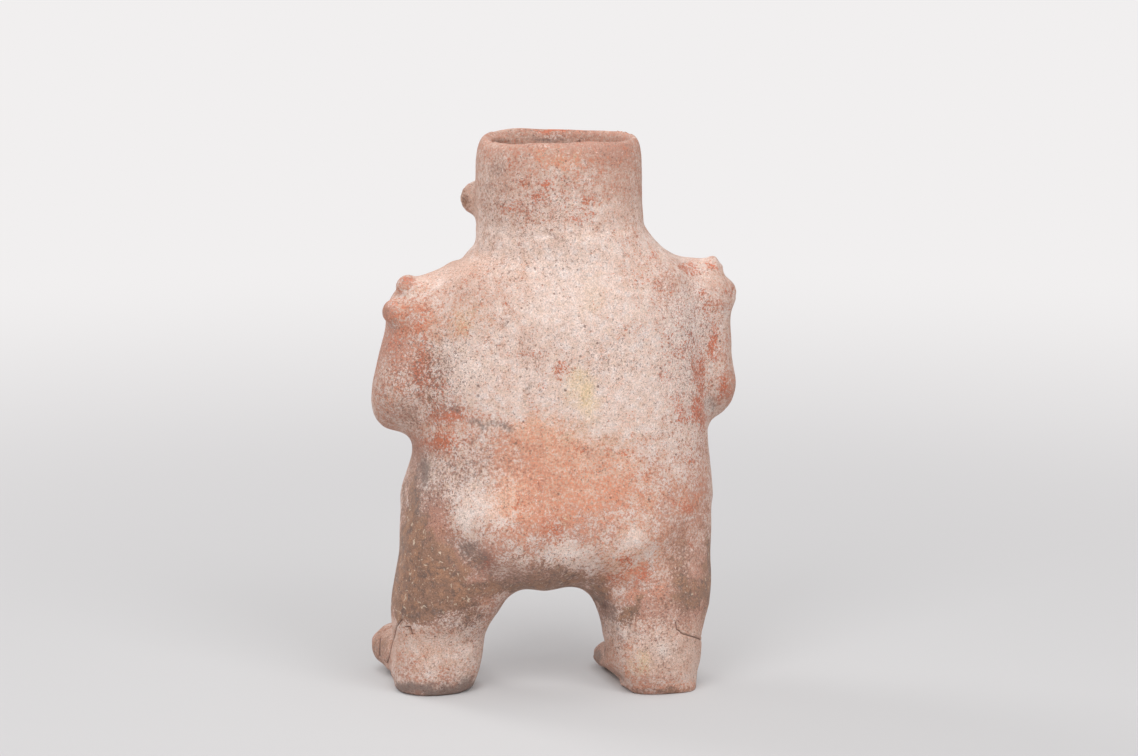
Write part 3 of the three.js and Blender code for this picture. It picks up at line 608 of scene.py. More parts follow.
def toe_lines(name):
    """The grooves between the toes, over the top and down the front."""
    corners = points_of(frame["nodes"][name].data)
    low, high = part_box(name)
    front = corners[corners[:, 1] < low.y + 0.8 * TOE_LENGTH]
    left, right = front[:, 0].min(), front[:, 0].max()

    def offset(points, normals, middle):
        off = abs(points[:, 0] - middle)
        out = (points[:, 1] > low.y + TOE_LENGTH) | (normals[:, 2] < -0.75) | (points[:, 1] > high.y)
        boxed = (points[:, 0] > left - 2 * MM) & (points[:, 0] < right + 2 * MM) & (points[:, 2] < high.z)
        fade = FADE_OUT * ramp(low.y + 0.7 * TOE_LENGTH, low.y + TOE_LENGTH, points[:, 1])
        return np.where(out | ~boxed, FAR, off + fade)

    return grooves_between(left, right, offset, INCISION_WIDTH, INCISION_DEPTH)


def finger_lines(side):
    """The grooves between the fingers of a hand that lies flat on the belly."""
    corners = points_of(frame["nodes"][f"{side}_arm"].data)
    low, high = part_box(f"{side}_arm")
    inwards = 1 if side == "left" else -1
    tip = low.x if side == "left" else -high.x
    reach = inwards * corners[:, 0] - tip
    hand = corners[reach < 0.6 * FINGER_LENGTH]
    bottom, top = hand[:, 2].min(), hand[:, 2].max()
    back = hand[:, 1].max()

    def offset(points, normals, height):
        along = inwards * points[:, 0] - tip
        off = abs(points[:, 2] - height)
        out = (along < -3 * MM) | (along > FINGER_LENGTH) | (points[:, 1] > back + 2 * MM)
        out |= normals[:, 1] > 0.2
        fade = FADE_OUT * ramp(0.7 * FINGER_LENGTH, FINGER_LENGTH, along)
        return np.where(out, FAR, off + fade)

    return grooves_between(bottom, top, offset, FINGER_GROOVE_WIDTH, FINGER_GROOVE_DEPTH)


def slit_line(name):
    """The slit across an eye or the mouth."""
    low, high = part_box(name)
    middle = (low + high) / 2
    half = (high.x - low.x) / 2

    def offset(points, normals):
        off = abs(points[:, 2] - middle.z)
        along = abs(points[:, 0] - middle.x) / half
        out = (points[:, 1] > high.y + 3 * MM) | (along > SLIT_END) | (normals[:, 1] > 0.2)
        return np.where(out, FAR, off + 2 * MM * ramp(0.6, SLIT_END, along))

    return Line(offset, SLIT_WIDTH, SLIT_DEPTH)


def photo_line(path, width, depth):
    """A line that the photograph shows, laid on the skin where its pixels fall."""
    pixel = CAMERA_PLACE.length / FOCAL_PIXELS
    way = np.array(CAMERA_WAY)

    def offset(points, normals):
        off = path_distance(Camera.pixels(points), path) * pixel
        return np.where(normals @ way > 0.1, FAR, off)

    return Line(offset, width, depth)


def all_lines():
    lines = toe_lines("left_foot") + toe_lines("right_foot")
    lines += finger_lines("left") + finger_lines("right")
    lines += [slit_line(name) for name in ("left_eye", "right_eye", "mouth")]
    lines += [photo_line(path, CRACK_WIDTH, CRACK_DEPTH) for path in CRACKS]
    lines.append(photo_line(TOE_LINE, TOE_LINE_WIDTH, TOE_LINE_DEPTH))
    return lines


def cut_finer(mesh, lines):
    """Divides the faces near the lines twice, so that a line has several faces across it."""
    for _ in range(2):
        points, normals = points_of(mesh), normals_of(mesh)
        near = np.zeros(len(points), bool)
        for line in lines:
            near |= line.near(points, normals)
        with editing(mesh) as skin:
            skin.verts.ensure_lookup_table()
            faces = {f: None for i in np.nonzero(near)[0].tolist() for f in skin.verts[i].link_faces}
            edges = list(dict.fromkeys(e for f in faces for e in f.edges))
            bmesh.ops.subdivide_edges(skin, edges=edges, cuts=1, use_grid_fill=True)


def sliced(mesh, heights):
    """Cuts edges in along level planes, where two pieces part."""
    with editing(mesh) as skin:
        for height in heights:
            geometry = skin.verts[:] + skin.edges[:] + skin.faces[:]
            plane = {"plane_co": (0, 0, height), "plane_no": (0, 0, 1)}
            bmesh.ops.bisect_plane(skin, geom=geometry, dist=CUT_SLACK, **plane)


def seam_height(lower, upper):
    return (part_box(lower)[1].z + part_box(upper)[0].z) / 2


def shaped_clay():
    """The fused skin with its joints smoothed over and every hand mark in its geometry."""
    mesh = fused_clay()
    points, edges = points_of(mesh), edges_of(mesh)
    weight = looseness(points, edges)
    smooth = relaxed(points, edges, weight, SKIN_ROUNDS)
    points = smooth + relaxed(points - smooth, edges, weight, SKIN_ROUNDS // 2)
    large = [name for name in solids.names if not is_small(name)]
    joint = ramp(0, 1, solids.meeting(points, large, JOINT_REACH))
    joint *= ramp(*ANKLE_BAND, points[:, 2]) * np.minimum(1, weight / LOOSE_WEIGHT)
    forearms = (1 - ramp(*FOREARM_FRONT, points[:, 1])) * ramp(*FOREARM_HEIGHT, points[:, 2])
    joint *= 1 - FOREARM_CALM * forearms * (points[:, 2] < seam_height(BODY, "head") - CHIN_ROOM)
    points = relaxed(points, edges, 0.6 * joint, JOINT_ROUNDS)
    small = solids.meeting(points, solids.names, SEAM_REACH)
    points = relaxed(points, edges, 0.4 * small, SEAM_ROUNDS)
    move_to(mesh, points)

    normals = normals_of(mesh)
    seen = seen_by_camera(mesh, points, edges)
    spots = Camera.pixels(points)
    push = np.zeros(len(points))
    for seed, (size, height) in enumerate(LUMPS):
        push += height * rough(points, size, seed + 1)
    for path, width, depth in CREASES:
        share = path_distance(spots, path) / width
        push -= depth * seen * np.exp(-share * share)
    above = points[:, 2] - seam_height(BODY, "head") + 1 * MM
    push += NECK_STEP * (np.exp(-((above + 3 * MM) / (4 * MM)) ** 2) - ramp(-1 * MM, 3 * MM, above))
    points = points + push[:, None] * normals
    points += swelling(points)[:, None] * normals
    points[:, 2] += rim_wave(points)
    points = nudged(points)
    move_to(mesh, points)

    lines = all_lines()
    cut_finer(mesh, lines)
    sliced(mesh, [seam_height(BODY, "head"), seam_height("left_foot", "left_leg")])
    points, normals = points_of(mesh), normals_of(mesh)
    depth = np.zeros(len(points))
    for line in lines:
        depth = np.maximum(depth, line.dent(points, normals))
    spots = Camera.pixels(points)
    across, down, radius = GROOVE_STOP
    depth *= ramp(0.6 * radius, radius, np.hypot(spots[:, 0] - across, spots[:, 1] - down))
    outward = normals @ np.array(CAMERA_WAY) < 0
    for across, down, radius, deep in PITS:
        share = np.hypot(spots[:, 0] - across, spots[:, 1] - down) / radius
        depth += deep * MM * outward * np.exp(-share * share) * (points[:, 1] > 0)
    points = points - depth[:, None] * normals
    points[:, 2] = np.maximum(points[:, 2], 0)
    move_to(mesh, points)
    return mesh, depth


def swelling(points):
    """How far the eyes and the lips stand out beyond their solids."""
    push = np.zeros(len(points))
    for name in ("left_eye", "right_eye", "mouth"):
        low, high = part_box(name)
        middle, half = (low + high) / 2, (high - low) / 2
        share = ((points[:, 0] - middle.x) / half.x) ** 2 + ((points[:, 2] - middle.z) / half.z) ** 2
        push = np.maximum(push, FACE_SWELL * (points[:, 1] < 0) * ramp(1.1, 0.3, share))
    return push


def nudged(points):
    """The points after the nudges."""
    spots = Camera.pixels(points)
    pixel = (points - np.array(CAMERA_PLACE)) @ np.array(CAMERA_WAY) / FOCAL_PIXELS
    moved = points.copy()
    for across, down, half_width, half_height, right, lower in NUDGES:
        way = right * np.array(Camera.right) - lower * np.array(Camera.up)
        moved += (bell(spots, across, down, half_width, half_height) * pixel)[:, None] * way
    return moved


def rim_wave(points):
    """How far the hand-formed rim rises and falls."""
    rim = cad_bounds[1].z
    angle = np.arctan2(points[:, 1], points[:, 0])
    dip_at, dip = RIM_DIP
    wave = RIM_ROLL * np.cos(3 * angle + ROLL_START) - dip * np.exp(-((angle - dip_at) / DIP_SPREAD) ** 2)
    for corner, rise in FAR_RIM_RISES:
        wave += rise * np.exp(-((angle - corner) / RISE_SPREAD) ** 2)
    for corner, drop in RIM_CORNERS:
        gap = np.abs((angle - corner + math.pi) % (2 * math.pi) - math.pi)
        wave -= drop * np.exp(-(gap / CORNER_SPREAD) ** 2)
    return wave * ramp(rim - RIM_FADE[0], rim - RIM_FADE[1], points[:, 2])


def proudness(mesh, points, edges):
    """How far each point stands out from its surroundings, from -1 in a hollow to 1 on a ridge."""
    around = relaxed(points, edges, np.full(len(points), 0.5), PROUD_ROUNDS)
    out = np.einsum("ij,ij->i", points - around, normals_of(mesh))
    return softened(np.clip(out / PROUD_HEIGHT, -1, 1), edges, 2)


def finish_and_shade_levels(mesh, grooves):
    """How much of each finish, and of the painted shade, every point of the skin takes."""
    points, edges = points_of(mesh), edges_of(mesh)
    proud = proudness(mesh, points, edges)
    seen = seen_by_camera(mesh, points, edges)
    spots = Camera.pixels(points)
    wander, fine, far = (
        np.stack([rough(points, size, seed), rough(points, size, seed + 1)], axis=1)
        for size, seed in ((9 * MM, 21), (4 * MM, 23), (34 * MM, 25))
    )
    drift = spots + DRIFT_PIXELS * far + 2 * WANDER_PIXELS * wander
    spots = spots + WANDER_PIXELS * wander + FINE_PIXELS * fine
    levels = {}
    for number, (name, (base, marks)) in enumerate(FINISHES_AND_SHADE.items()):
        level = np.full(len(points), base)
        clouds = rough(points, 38 * MM, 31 + number) + 0.6 * rough(points, 14 * MM, 41 + number)
        level += CLOUDING * clouds
        for across, down, half_width, half_height, amount in marks:
            mark = (across, down, half_width, half_height)
            level += amount * seen * bell(spots, *mark)
            if half_width * half_height > LARGE_MARK:
                level += HIDDEN_SHARE * amount * (1 - seen) * bell(drift, *mark)
        levels[name] = level
    for path, amount in ((STAIN_PATH, STAIN_AMOUNT), (STAIN_DROP, 0.4 * STAIN_AMOUNT)):
        share = path_distance(spots, path) / STAIN_HALF_WIDTH
        levels["grey"] += amount * seen * np.exp(-share * share)
    levels["crust"] -= WEAR * np.maximum(proud, 0) * (1 - 0.6 * seen)
    # Hollows take grey, as dirt and as painted shade.
    levels["grey"] += DIRT_AND_SHADE * np.maximum(-proud, 0) * (1 - 0.6 * seen)
    levels["groove"] = np.clip(grooves / GROOVE_DEPTH, 0, 1)
    return levels


def adjacent_faces(mesh):
    """Pairs of faces that share an edge, and that edge."""
    edge_of_loop = read(mesh.loops, "edge_index", 1, int)[:, 0]
    sizes = read(mesh.polygons, "loop_total", 1, int)[:, 0]
    face_of_loop = np.repeat(np.arange(len(sizes)), sizes)
    order = np.argsort(edge_of_loop, kind="stable")
    edge_sorted, face_sorted = edge_of_loop[order], face_of_loop[order]
    same = np.nonzero(edge_sorted[1:] == edge_sorted[:-1])[0]
    return np.stack([face_sorted[same], face_sorted[same + 1]], axis=1), edge_sorted[same]


def islands(count, pairs):
    """The number of the island that each of some faces belongs to, given which faces hang together."""
    island = np.arange(count)
    first, second = pairs.T
    while True:
        lower = np.minimum(island[first], island[second])
        after = island.copy()
        np.minimum.at(after, first, lower)
        np.minimum.at(after, second, lower)
        after = after[after]
        if np.array_equal(after, island):
            return island
        island = after


def territories(mesh):
    """For each face, the number of the solid that it stands for, each solid's faces in one stretch."""
    owner = solids.nearest(read(mesh.polygons, "center"))
    pairs, shared = adjacent_faces(mesh)
    ends = edges_of(mesh)[shared]
    for _ in range(12):
        changed = False
        hang = owner[pairs[:, 0]] == owner[pairs[:, 1]]
        island = islands(len(owner), pairs[hang])
        sizes = np.bincount(island, minlength=len(owner))
        keep = {}
        for number in np.unique(owner):
            own = np.unique(island[owner == number])
            keep[number] = own[np.argmax(sizes[own])]
        stray = island != np.array([keep[number] for number in owner])
        if stray.any():
            changed = True
            across = pairs[~hang]
            for a, b in np.concatenate([across, across[:, ::-1]]).tolist():
                if stray[a] and not stray[b]:
                    owner[a] = owner[b]
        parting = owner[pairs[:, 0]] != owner[pairs[:, 1]]
        count = np.bincount(ends[parting].ravel(), minlength=len(mesh.vertices))
        pinched = count > 3
        if pinched.any():
            changed = True
            touching = pinched[ends].any(axis=1) & parting
            for a, b in pairs[touching].tolist():
                owner[a] = owner[b] = min(owner[a], owner[b])
        if not changed:
            break
    return owner, pairs, ends


def open_runs(shape):
    """The closed runs of edges that have a face on one side only, each as its corners in order."""
    left = dict.fromkeys(e for e in shape.edges if len(e.link_faces) == 1)
    runs = []
    while left:
        edge = next(iter(left))
        del left[edge]
        start, corner = edge.verts
        run = [start, corner]
        while corner is not start:
            edge = next(e for e in corner.link_edges if e in left)
            del left[edge]
            corner = edge.other_vert(corner)
            run.append(corner)
        runs.append(run[:-1])
    return runs


def onto_body(place):
    """The point of the body's outside that lies level with a place, on the same side of its middle."""
    outwards = Vector((place.x, place.y, 0)).normalized()
    far = Vector((0, 0, place.z)) + 0.4 * outwards
    hit = solids.trees[BODY].ray_cast(far, -outwards)[0]
    return place if hit is None else hit


LABEL = "label"
CAP_RINGS = 9


def closed_by_cap(shape, run, on_body):
    """Closes a run of corners with rings that shrink to its middle, and follow the outside on the body."""
    middle = sum((corner.co for corner in run), Vector()) / len(run)
    rings = CAP_RINGS if on_body else 1
    ring = run
    for i in range(1, rings):
        places = [corner.co.lerp(middle, i / rings) for corner in run]
        inner = [shape.verts.new(onto_body(place)) for place in places]
        for j in range(len(run)):
            shape.faces.new((ring[j - 1], ring[j], inner[j], inner[j - 1]))
        ring = inner
    peak = shape.verts.new(onto_body(middle) if on_body else middle)
    for j in range(len(ring)):
        shape.faces.new((ring[j - 1], ring[j], peak))


def bridged(shape, outer, inner):
    """Joins an outer and an inner run by a band of triangles, each with the shorter side next."""
    def turn(run):
        middle = sum((corner.co for corner in run), Vector()) / len(run)
        return sum(((a.co - middle).cross(b.co - middle) for a, b in zip(run, run[1:] + run[:1])), Vector())
    if turn(outer).dot(turn(inner)) < 0:
        inner = inner[::-1]
    first = min(range(len(inner)), key=lambda j: (inner[j].co - outer[0].co).length)
    inner = inner[first:] + inner[:first + 1]
    outer = outer + outer[:1]
    i = j = 0
    while i < len(outer) - 1 or j < len(inner) - 1:
        step_outer = (outer[i + 1].co - inner[j].co).length if i < len(outer) - 1 else math.inf
        step_inner = (inner[j + 1].co - outer[i].co).length if j < len(inner) - 1 else math.inf
        if step_outer < step_inner:
            shape.faces.new((outer[i], outer[i + 1], inner[j]))
            i += 1
        else:
            shape.faces.new((outer[i], inner[j + 1], inner[j]))
            j += 1


def arm_on_body(one, other):
    """Whether two pieces are an arm and the body, which part along the body's outside."""
    return BODY in (one, other) and ("arm" in one or "arm" in other)


def closed_shape(name, corners, faces, neighbour_of):
    """A mesh of some faces of the skin, closed where it parts from the pieces next to it."""
    shape = bmesh.new()
    label = shape.verts.layers.int.new(LABEL)
    verts = [shape.verts.new(co) for co in corners]
    for number, vert in enumerate(verts):
        vert[label] = number + 1
    for face in faces:
        shape.faces.new([verts[i] for i in face])
    by_neighbour = {}
    for run in open_runs(shape):
        beside = [
            neighbour_of[frozenset((a[label] - 1, b[label] - 1))] for a, b in zip(run, run[1:] + run[:1])
        ]
        by_neighbour.setdefault(max(sorted(set(beside)), key=beside.count), []).append(run)
    for neighbour, runs in sorted(by_neighbour.items()):
        runs.sort(key=len, reverse=True)
        if len(runs) >= 2 and not is_small(neighbour) and not arm_on_body(name, neighbour):
            bridged(shape, runs[0], runs[1])
            runs = runs[2:]
        for run in runs:
            closed_by_cap(shape, run, arm_on_body(name, neighbour))
    return shape


def pieces_of_clay(mesh, levels, materials):
    """The skin cut up into one closed object for each solid."""
    points, normals = points_of(mesh), normals_of(mesh)
    owner, pairs, ends = territories(mesh)
    parting = owner[pairs[:, 0]] != owner[pairs[:, 1]]
    borders = list(zip(ends[parting].tolist(), owner[pairs[parting]].tolist()))
    polygons = [tuple(p.vertices) for p in mesh.polygons]
    for number, name in enumerate(solids.names):
        own_faces = [polygons[i] for i in np.nonzero(owner == number)[0].tolist()]
        used = np.unique(np.concatenate([np.array(face) for face in own_faces]))
        local = {old: new for new, old in enumerate(used.tolist())}
        neighbour_of = {}
        for (a, b), (one, other) in borders:
            if number in (one, other):
                beside = other if one == number else one
                neighbour_of[frozenset((local[a], local[b]))] = solids.names[beside]
        faces = [tuple(local[i] for i in face) for face in own_faces]
        shape = closed_shape(name, points[used].tolist(), faces, neighbour_of)
        for face in shape.faces:
            face.smooth = True
        bmesh.ops.recalc_face_normals(shape, faces=shape.faces)
        piece_mesh = bpy.data.meshes.new(f"{name}_clay")
        shape.to_mesh(piece_mesh)
        shape.free()
        label = read(piece_mesh.attributes[LABEL].data, "value", 1, int)[:, 0]
        piece_mesh.attributes.remove(piece_mesh.attributes[LABEL])
        on_skin = label > 0
        source = used[label[on_skin] - 1]
        full = normals_of(piece_mesh)
        full[on_skin] = normals[source]
        piece_mesh.normals_split_custom_set_from_vertices(full.tolist())
        for finish_and_shade_key, level in levels.items():
            attribute = piece_mesh.attributes.new(finish_and_shade_key, "FLOAT", "POINT")
            values = np.full(len(piece_mesh.vertices), float(level[used].mean()))
            values[on_skin] = level[source]
            attribute.data.foreach_set("value", values)
        piece = bpy.data.objects.new(f"{name}_clay", piece_mesh)
        bpy.context.scene.collection.objects.link(piece)
        slot = slot_of(name)
        piece_mesh.materials.append(materials[slot])
        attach(piece, "root")
        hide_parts(name)


def slot_of(node):
    """The record's material slot that holds a node."""
    return next(part["material_slot"] for part in frame["record"]["subparts"] if part["node"] == node)


class Graph:
    """Short calls for building a node tree."""

    def __init__(self, tree):
        self.tree = tree

    def node(self, kind, **settings):
        made = self.tree.nodes.new(kind)
        for key, value in settings.items():
            setattr(made, key, value)
        return made

    def feed(self, socket, value):
        if isinstance(value, bpy.types.NodeSocket):
            self.tree.links.new(value, socket)
        else:
            socket.default_value = value

    def math(self, operation, first, second=0.0):
        made = self.node("ShaderNodeMath", operation=operation)
        self.feed(made.inputs[0], first)
        self.feed(made.inputs[1], second)
        return made.outputs[0]

    def times(self, first, second):
        return self.math("MULTIPLY", first, second)

    def less(self, first, second):
        return self.math("SUBTRACT", first, second)

    def mix(self, share, first, second):
        made = self.node("ShaderNodeMix", data_type="RGBA", blend_type="MIX")
        self.feed(made.inputs[0], share)
        self.feed(made.inputs[6], first)
        self.feed(made.inputs[7], second)
        return made.outputs[2]

    def ramp(self, value, low, high, to_low=0.0, to_high=1.0):
        made = self.node("ShaderNodeMapRange", interpolation_type="SMOOTHSTEP")
        self.feed(made.inputs[0], value)
        for socket, number in zip(made.inputs[1:5], (low, high, to_low, to_high)):
            self.feed(socket, number)
        return made.outputs[0]

    def level(self, name):
        made = self.node("ShaderNodeAttribute", attribute_type="GEOMETRY", attribute_name=name)
        return made.outputs["Fac"]

    def total(self, shares):
        """The sum of some values, each times its share."""
        result = 0.0
        for value, share in shares:
            result = self.math("ADD", self.times(value, share), result)
        return result

    def patch(self, name, noises, low, high):
        """A finish's level, made patchy by noises round their middle, from 0 at low to 1 at high."""
        middle = 0.5 * sum(share for _, share in noises)
        value = self.math("ADD", self.level(name), self.less(self.total(noises), middle))
        return self.ramp(value, low, high)

    def place(self, shift):
        """The place on the object, moved by a shift."""
        moved = self.node("ShaderNodeVectorMath", operation="ADD")
        self.feed(moved.inputs[0], self.node("ShaderNodeTexCoord").outputs["Object"])
        moved.inputs[1].default_value = (shift, -0.3 * shift, 0.6 * shift)
        return moved.outputs[0]

    def noise(self, size, detail=3.0, roughness=0.55, distortion=0.0, shift=0.0):
        """Noise whose features are about as long as size, spread out to fill 0 to 1."""
        made = self.node("ShaderNodeTexNoise")
        self.feed(made.inputs["Vector"], self.place(shift))
        made.inputs["Scale"].default_value = 1 / size
        made.inputs["Detail"].default_value = detail
        made.inputs["Roughness"].default_value = roughness
        made.inputs["Distortion"].default_value = distortion
        return self.ramp(made.outputs["Fac"], 0.25, 0.75)

    def cells(self, size, shift=0.0):
        """The distance to the nearest of many scattered spots, in spacings."""
        made = self.node("ShaderNodeTexVoronoi")
        self.feed(made.inputs["Vector"], self.place(shift))
        made.inputs["Scale"].default_value = 1 / size
        return made.outputs["Distance"], made.outputs["Color"]


TAN_CLAY = srgb(184, 135, 117)
SALMON = srgb(207, 139, 110)
RED_SLIP = srgb(205, 111, 80)
RUST_SLIP = srgb(184, 104, 72)
BROWN = srgb(146, 110, 90)
WARM_BROWN = srgb(169, 125, 98)
DARK_BROWN = srgb(120, 94, 82)
PINK_CRUST = srgb(230, 209, 198)
ROSE_CRUST = srgb(221, 193, 180)
PEACH_CRUST = srgb(226, 178, 150)
YELLOW_CRUST = srgb(224, 198, 162)
TAN_CRUST = srgb(208, 174, 157)
WHITE_CRUST = srgb(239, 224, 215)
COOL_CRUST = srgb(228, 216, 212)
BEIGE_CRUST = srgb(216, 188, 167)
GREY_STAIN_AND_SHADE = srgb(128, 112, 105)
DARK_SPECK = srgb(106, 72, 60)
CRAZE = srgb(172, 92, 68)
GROOVE_DIRT_AND_SHADE = srgb(104, 76, 66)
FLECK = srgb(212, 190, 168)


def fired_clay(name):
    """Fired clay: orange-red slip and burnished brown under a broken pale crust, stained and specked, with
    painted shade in places.
    """
    material = bpy.data.materials.new(name)
    material.use_nodes = True
    graph = Graph(material.node_tree)
    shader = material.node_tree.nodes["Principled BSDF"]

    grain = graph.noise(0.75 * MM, 2, shift=1)
    crumbs = graph.noise(1.5 * MM, 5, 0.7, 0.2, shift=2)
    clouds = graph.noise(6.5 * MM, 4, 0.6, shift=3)
    drift = graph.noise(24 * MM, 3, 0.55, shift=4)

    # Under the crust: tan clay, orange slip and spots of red, and the burnished brown of the scorched side,
    # which also lays painted shade under the seat and along the outline.
    peach = graph.patch("peach", [(clouds, 0.65), (crumbs, 0.3)], 0.1, 0.85)
    slip = graph.mix(peach, TAN_CLAY, SALMON)
    red = graph.patch("red", [(clouds, 0.3), (crumbs, 0.75), (grain, 0.35)], 0.25, 0.75)
    slip = graph.mix(graph.times(red, 0.85), slip, graph.mix(drift, RED_SLIP, RUST_SLIP))
    brown = graph.patch("brown", [(clouds, 0.3), (crumbs, 0.35)], 0.2, 0.6)
    burnt_and_shade = graph.mix(graph.ramp(clouds, 0.35, 0.9), BROWN, WARM_BROWN)
    burnt_and_shade = graph.mix(graph.ramp(graph.noise(4 * MM, 4, 0.7, shift=8), 0.5, 0.1), burnt_and_shade, DARK_BROWN)
    under = graph.mix(brown, slip, burnt_and_shade)

    # The crust: pink, and stained peach, yellow, tan or white in places; the tan also lays painted shade
    # along the outline and under the seat.
    tint = graph.noise(3.4 * MM, 4, 0.65, shift=11)
    crust = graph.mix(clouds, PINK_CRUST, ROSE_CRUST)
    crust = graph.mix(graph.ramp(tint, 0.5, 1.0, 0.0, 0.75), crust, COOL_CRUST)
    crust = graph.mix(graph.ramp(tint, 0.5, 0.0, 0.0, 0.6), crust, BEIGE_CRUST)
    crust = graph.mix(graph.times(peach, 0.85), crust, PEACH_CRUST)
    crust = graph.mix(graph.patch("tan", [(clouds, 0.3), (crumbs, 0.2)], 0.0, 0.8), crust, TAN_CRUST)
    crust = graph.mix(graph.patch("yellow", [(clouds, 0.3), (crumbs, 0.3)], 0.15, 0.9), crust, YELLOW_CRUST)
    crust = graph.mix(graph.patch("white", [(clouds, 0.3), (crumbs, 0.4)], 0.15, 0.8), crust, WHITE_CRUST)

    # The crust lies where its level beats the fine noise, and lets a little of the slip through.
    broken = graph.total([(crumbs, 0.68), (grain, 0.45), (clouds, 0.14), (1.0, -0.11)])
    level = graph.less(graph.level("crust"), graph.times(red, 0.26))
    level = graph.less(level, graph.times(brown, 0.3))
    cover = graph.ramp(graph.less(level, broken), -0.11, 0.11)
    colour = graph.mix(graph.times(cover, 0.92), under, crust)
    flecks = graph.ramp(graph.noise(2.4 * MM, 2, 0.6, 0.6, shift=9), 0.86, 0.97)
    colour = graph.mix(graph.times(flecks, graph.times(brown, 0.8)), colour, FLECK)

    # Salty white grains.
    salt = graph.ramp(graph.noise(1.0 * MM, 2, 0.6, shift=12), 0.66, 0.9, 0.0, 0.6)
    salt = graph.times(salt, graph.ramp(graph.math("ADD", graph.level("white"), tint), 0.3, 1.0))
    colour = graph.mix(graph.times(salt, graph.ramp(brown, 0.0, 1.0, 1.0, 0.3)), colour, WHITE_CRUST)

    # Red lines that wander between the islands of crust.
    contour = graph.noise(2.5 * MM, 3, 0.6, 0.7, shift=10)
    off_line = graph.math("ABSOLUTE", graph.less(contour, 0.5))
    crazed = graph.patch("craze", [(crumbs, 1.1)], 0.2, 0.8)
    craze = graph.times(graph.ramp(off_line, 0.08, 0.02), crazed)
    colour = graph.mix(graph.times(craze, 0.85), colour, CRAZE)

    # Grey stains, and painted shade under the seat, along the neck step and in hollows, and a darker band
    # along the bottom of the heels; dark pores between the grains, and a few larger pits.
    smudge_and_shade = graph.patch("grey", [(clouds, 0.25), (crumbs, 0.7)], 0.05, 0.85)
    colour = graph.mix(graph.times(smudge_and_shade, 0.8), colour, GREY_STAIN_AND_SHADE)
    fine = graph.noise(1.05 * MM, 2, 0.6, 0.8, shift=5)
    limit = graph.total([(graph.level("specks"), 0.34), (clouds, 0.1), (1.0, 0.07)])
    pores = graph.ramp(graph.less(limit, fine), -0.02, 0.14)
    distance, spread = graph.cells(4.5 * MM, shift=6)
    chance = graph.node("ShaderNodeSeparateColor")
    graph.feed(chance.inputs[0], spread)
    chosen = graph.ramp(graph.less(graph.times(graph.level("specks"), 0.4),
                                   chance.outputs[0]), -0.05, 0.05)
    size = graph.math("ADD", graph.times(chance.outputs[1], 0.1),
                      graph.times(graph.less(grain, 0.5), 0.12))
    pits = graph.times(graph.ramp(graph.less(distance, size), 0.12, 0.03), chosen)
    dark = graph.math("MAXIMUM", graph.times(pores, 0.6), graph.times(pits, 0.75))
    colour = graph.mix(dark, colour, DARK_SPECK)

    # The incised grooves darken, with dirt and painted shade.
    colour = graph.mix(graph.ramp(graph.level("groove"), 0.25, 1.0, 0.0, 0.75), colour, GROOVE_DIRT_AND_SHADE)

    # Fine light and dark all over.
    shade = graph.ramp(graph.total([(grain, 0.65), (crumbs, 0.35)]), 0.1, 0.9, 0.76, 1.15)
    shaded = graph.node("ShaderNodeVectorMath", operation="SCALE")
    graph.feed(shaded.inputs[0], colour)
    graph.feed(shaded.inputs["Scale"], shade)
    graph.feed(shader.inputs["Base Color"], shaded.outputs[0])

    bare = graph.ramp(cover, 0.0, 1.0, 0.72, 0.93)
    polished = graph.ramp(graph.noise(5 * MM, 3, shift=7), 0.0, 1.0, 0.46, 0.64)
    sheen_mix = graph.node("ShaderNodeMix", data_type="FLOAT")
    graph.feed(sheen_mix.inputs[0], graph.times(brown, graph.ramp(cover, 0.0, 0.6, 1.0, 0.0)))
    graph.feed(sheen_mix.inputs[2], bare)
    graph.feed(sheen_mix.inputs[3], polished)
    graph.feed(shader.inputs["Roughness"], sheen_mix.outputs[0])

    height = graph.total([(cover, 0.5), (grain, 0.25), (dark, -0.9), (craze, -0.4)])
    bump = graph.node("ShaderNodeBump")
    bump.inputs["Strength"].default_value = 0.55
    bump.inputs["Distance"].default_value = 0.3 * MM
    graph.feed(bump.inputs["Height"], height)
    graph.feed(shader.inputs["Normal"], bump.outputs[0])
    return material


FLOOR_RADIUS = 40
CONTACT_REACH = 8 * MM  # the floor's glow fades this close to the clay, where the shadow is deepest
FLOOR_COLOUR = srgb(202, 201, 201)
NEAR_GLOW = srgb(211, 209, 210)
FAR_GLOW = srgb(241, 239, 239)
GLOW_COLOUR_FADE = (0.15, 1.6)  # from the near colour to the far one
GLOW_FADE = (0.06, 0.9, 0.38, 1.0)  # the glow's share grows over these distances, between these shares
CONTACT_FADE = (0.3, 1.0)


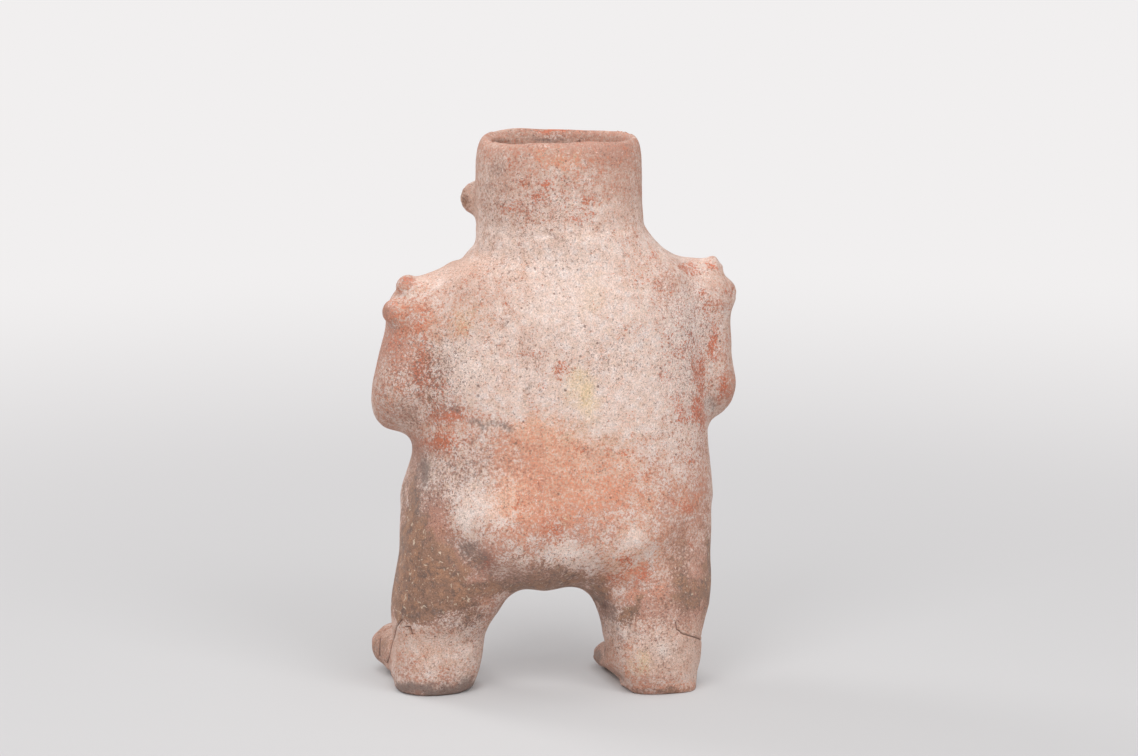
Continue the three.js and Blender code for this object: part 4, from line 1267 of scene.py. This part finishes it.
def add_floor():
    """A pale floor that keeps the figure's shadow and turns into an even pale ground farther off."""
    shape = bmesh.new()
    bmesh.ops.create_circle(shape, cap_ends=True, segments=96, radius=FLOOR_RADIUS)
    mesh = bpy.data.meshes.new("floor")
    shape.to_mesh(mesh)
    shape.free()
    floor = bpy.data.objects.new("floor", mesh)
    bpy.context.scene.collection.objects.link(floor)
    material = bpy.data.materials.new("pale_ground")
    material.use_nodes = True
    tree = material.node_tree
    tree.nodes.clear()
    graph = Graph(tree)
    place = graph.node("ShaderNodeTexCoord").outputs["Object"]
    length = graph.node("ShaderNodeVectorMath", operation="LENGTH")
    graph.feed(length.inputs[0], place)
    away = length.outputs["Value"]
    matt = graph.node("ShaderNodeBsdfDiffuse")
    matt.inputs["Color"].default_value = FLOOR_COLOUR
    glow = graph.node("ShaderNodeEmission")
    graph.feed(glow.inputs["Color"], graph.mix(graph.ramp(away, *GLOW_COLOUR_FADE), NEAR_GLOW, FAR_GLOW))
    path = graph.node("ShaderNodeLightPath")
    direct = graph.math("MAXIMUM", path.outputs["Is Camera Ray"], path.outputs["Is Glossy Ray"])
    direct = graph.math("MAXIMUM", direct, path.outputs["Is Transmission Ray"])
    share = graph.times(direct, graph.ramp(away, *GLOW_FADE))
    contact = graph.node("ShaderNodeAmbientOcclusion", samples=8)
    contact.inputs["Distance"].default_value = CONTACT_REACH
    share = graph.times(share, graph.ramp(contact.outputs["AO"], *CONTACT_FADE))
    blend = graph.node("ShaderNodeMixShader")
    graph.feed(blend.inputs[0], share)
    graph.feed(blend.inputs[1], matt.outputs[0])
    graph.feed(blend.inputs[2], glow.outputs[0])
    output = graph.node("ShaderNodeOutputMaterial")
    graph.feed(output.inputs["Surface"], blend.outputs[0])
    mesh.materials.append(material)


# The soft boxes: name, place, width and height, and watts. The far one lights the front from the side.
LAMPS = [
    ("left_box", (1.4, 1.5, 1.8), (1.2, 1.4), 24.5),
    ("right_box", (-0.9, 1.8, 1.8), (1.2, 1.4), 26),
    ("top_box", (0, 0.4, 2.0), (1.6, 1.6), 14),
    ("far_box", (1.3, -1.5, 1.6), (0.8, 1.0), 20.5),
]
LAMP_AIM = (0, 0, 0.14)
ROOM_COLOUR = srgb(243, 243, 244)
ROOM_STRENGTH = 0.435


def add_lamp(name, place, size, watts):
    lamp = bpy.data.lights.new(name, "AREA")
    lamp.shape = "RECTANGLE"
    lamp.size, lamp.size_y = size
    lamp.energy = watts
    holder = bpy.data.objects.new(name, lamp)
    holder.location = place
    holder.rotation_euler = (Vector(LAMP_AIM) - Vector(place)).to_track_quat("-Z", "Y").to_euler()
    bpy.context.scene.collection.objects.link(holder)


def add_light():
    """Two large soft boxes on the camera's side, one overhead, one on the far side, and a pale room."""
    for lamp in LAMPS:
        add_lamp(*lamp)
    world = bpy.data.worlds.new("room")
    bpy.context.scene.world = world
    world.use_nodes = True
    background = world.node_tree.nodes["Background"]
    background.inputs["Color"].default_value = ROOM_COLOUR
    background.inputs["Strength"].default_value = ROOM_STRENGTH


def add_camera():
    data = bpy.data.cameras.new("camera")
    data.lens = LENS
    data.sensor_width = SENSOR
    data.clip_end = 100
    camera = bpy.data.objects.new("camera", data)
    camera.location = CAMERA_PLACE
    camera.rotation_euler = CAMERA_WAY.to_track_quat("-Z", "Y").to_euler()
    bpy.context.scene.collection.objects.link(camera)
    bpy.context.scene.camera = camera


add_camera()
skin, grooves = shaped_clay()
slots = sorted({slot_of(name) for name in solids.names})
pieces_of_clay(skin, finish_and_shade_levels(skin, grooves), {slot: fired_clay(slot) for slot in slots})
bpy.data.meshes.remove(skin)
add_floor()
add_light()
bpy.context.scene.view_settings.view_transform = "Standard"
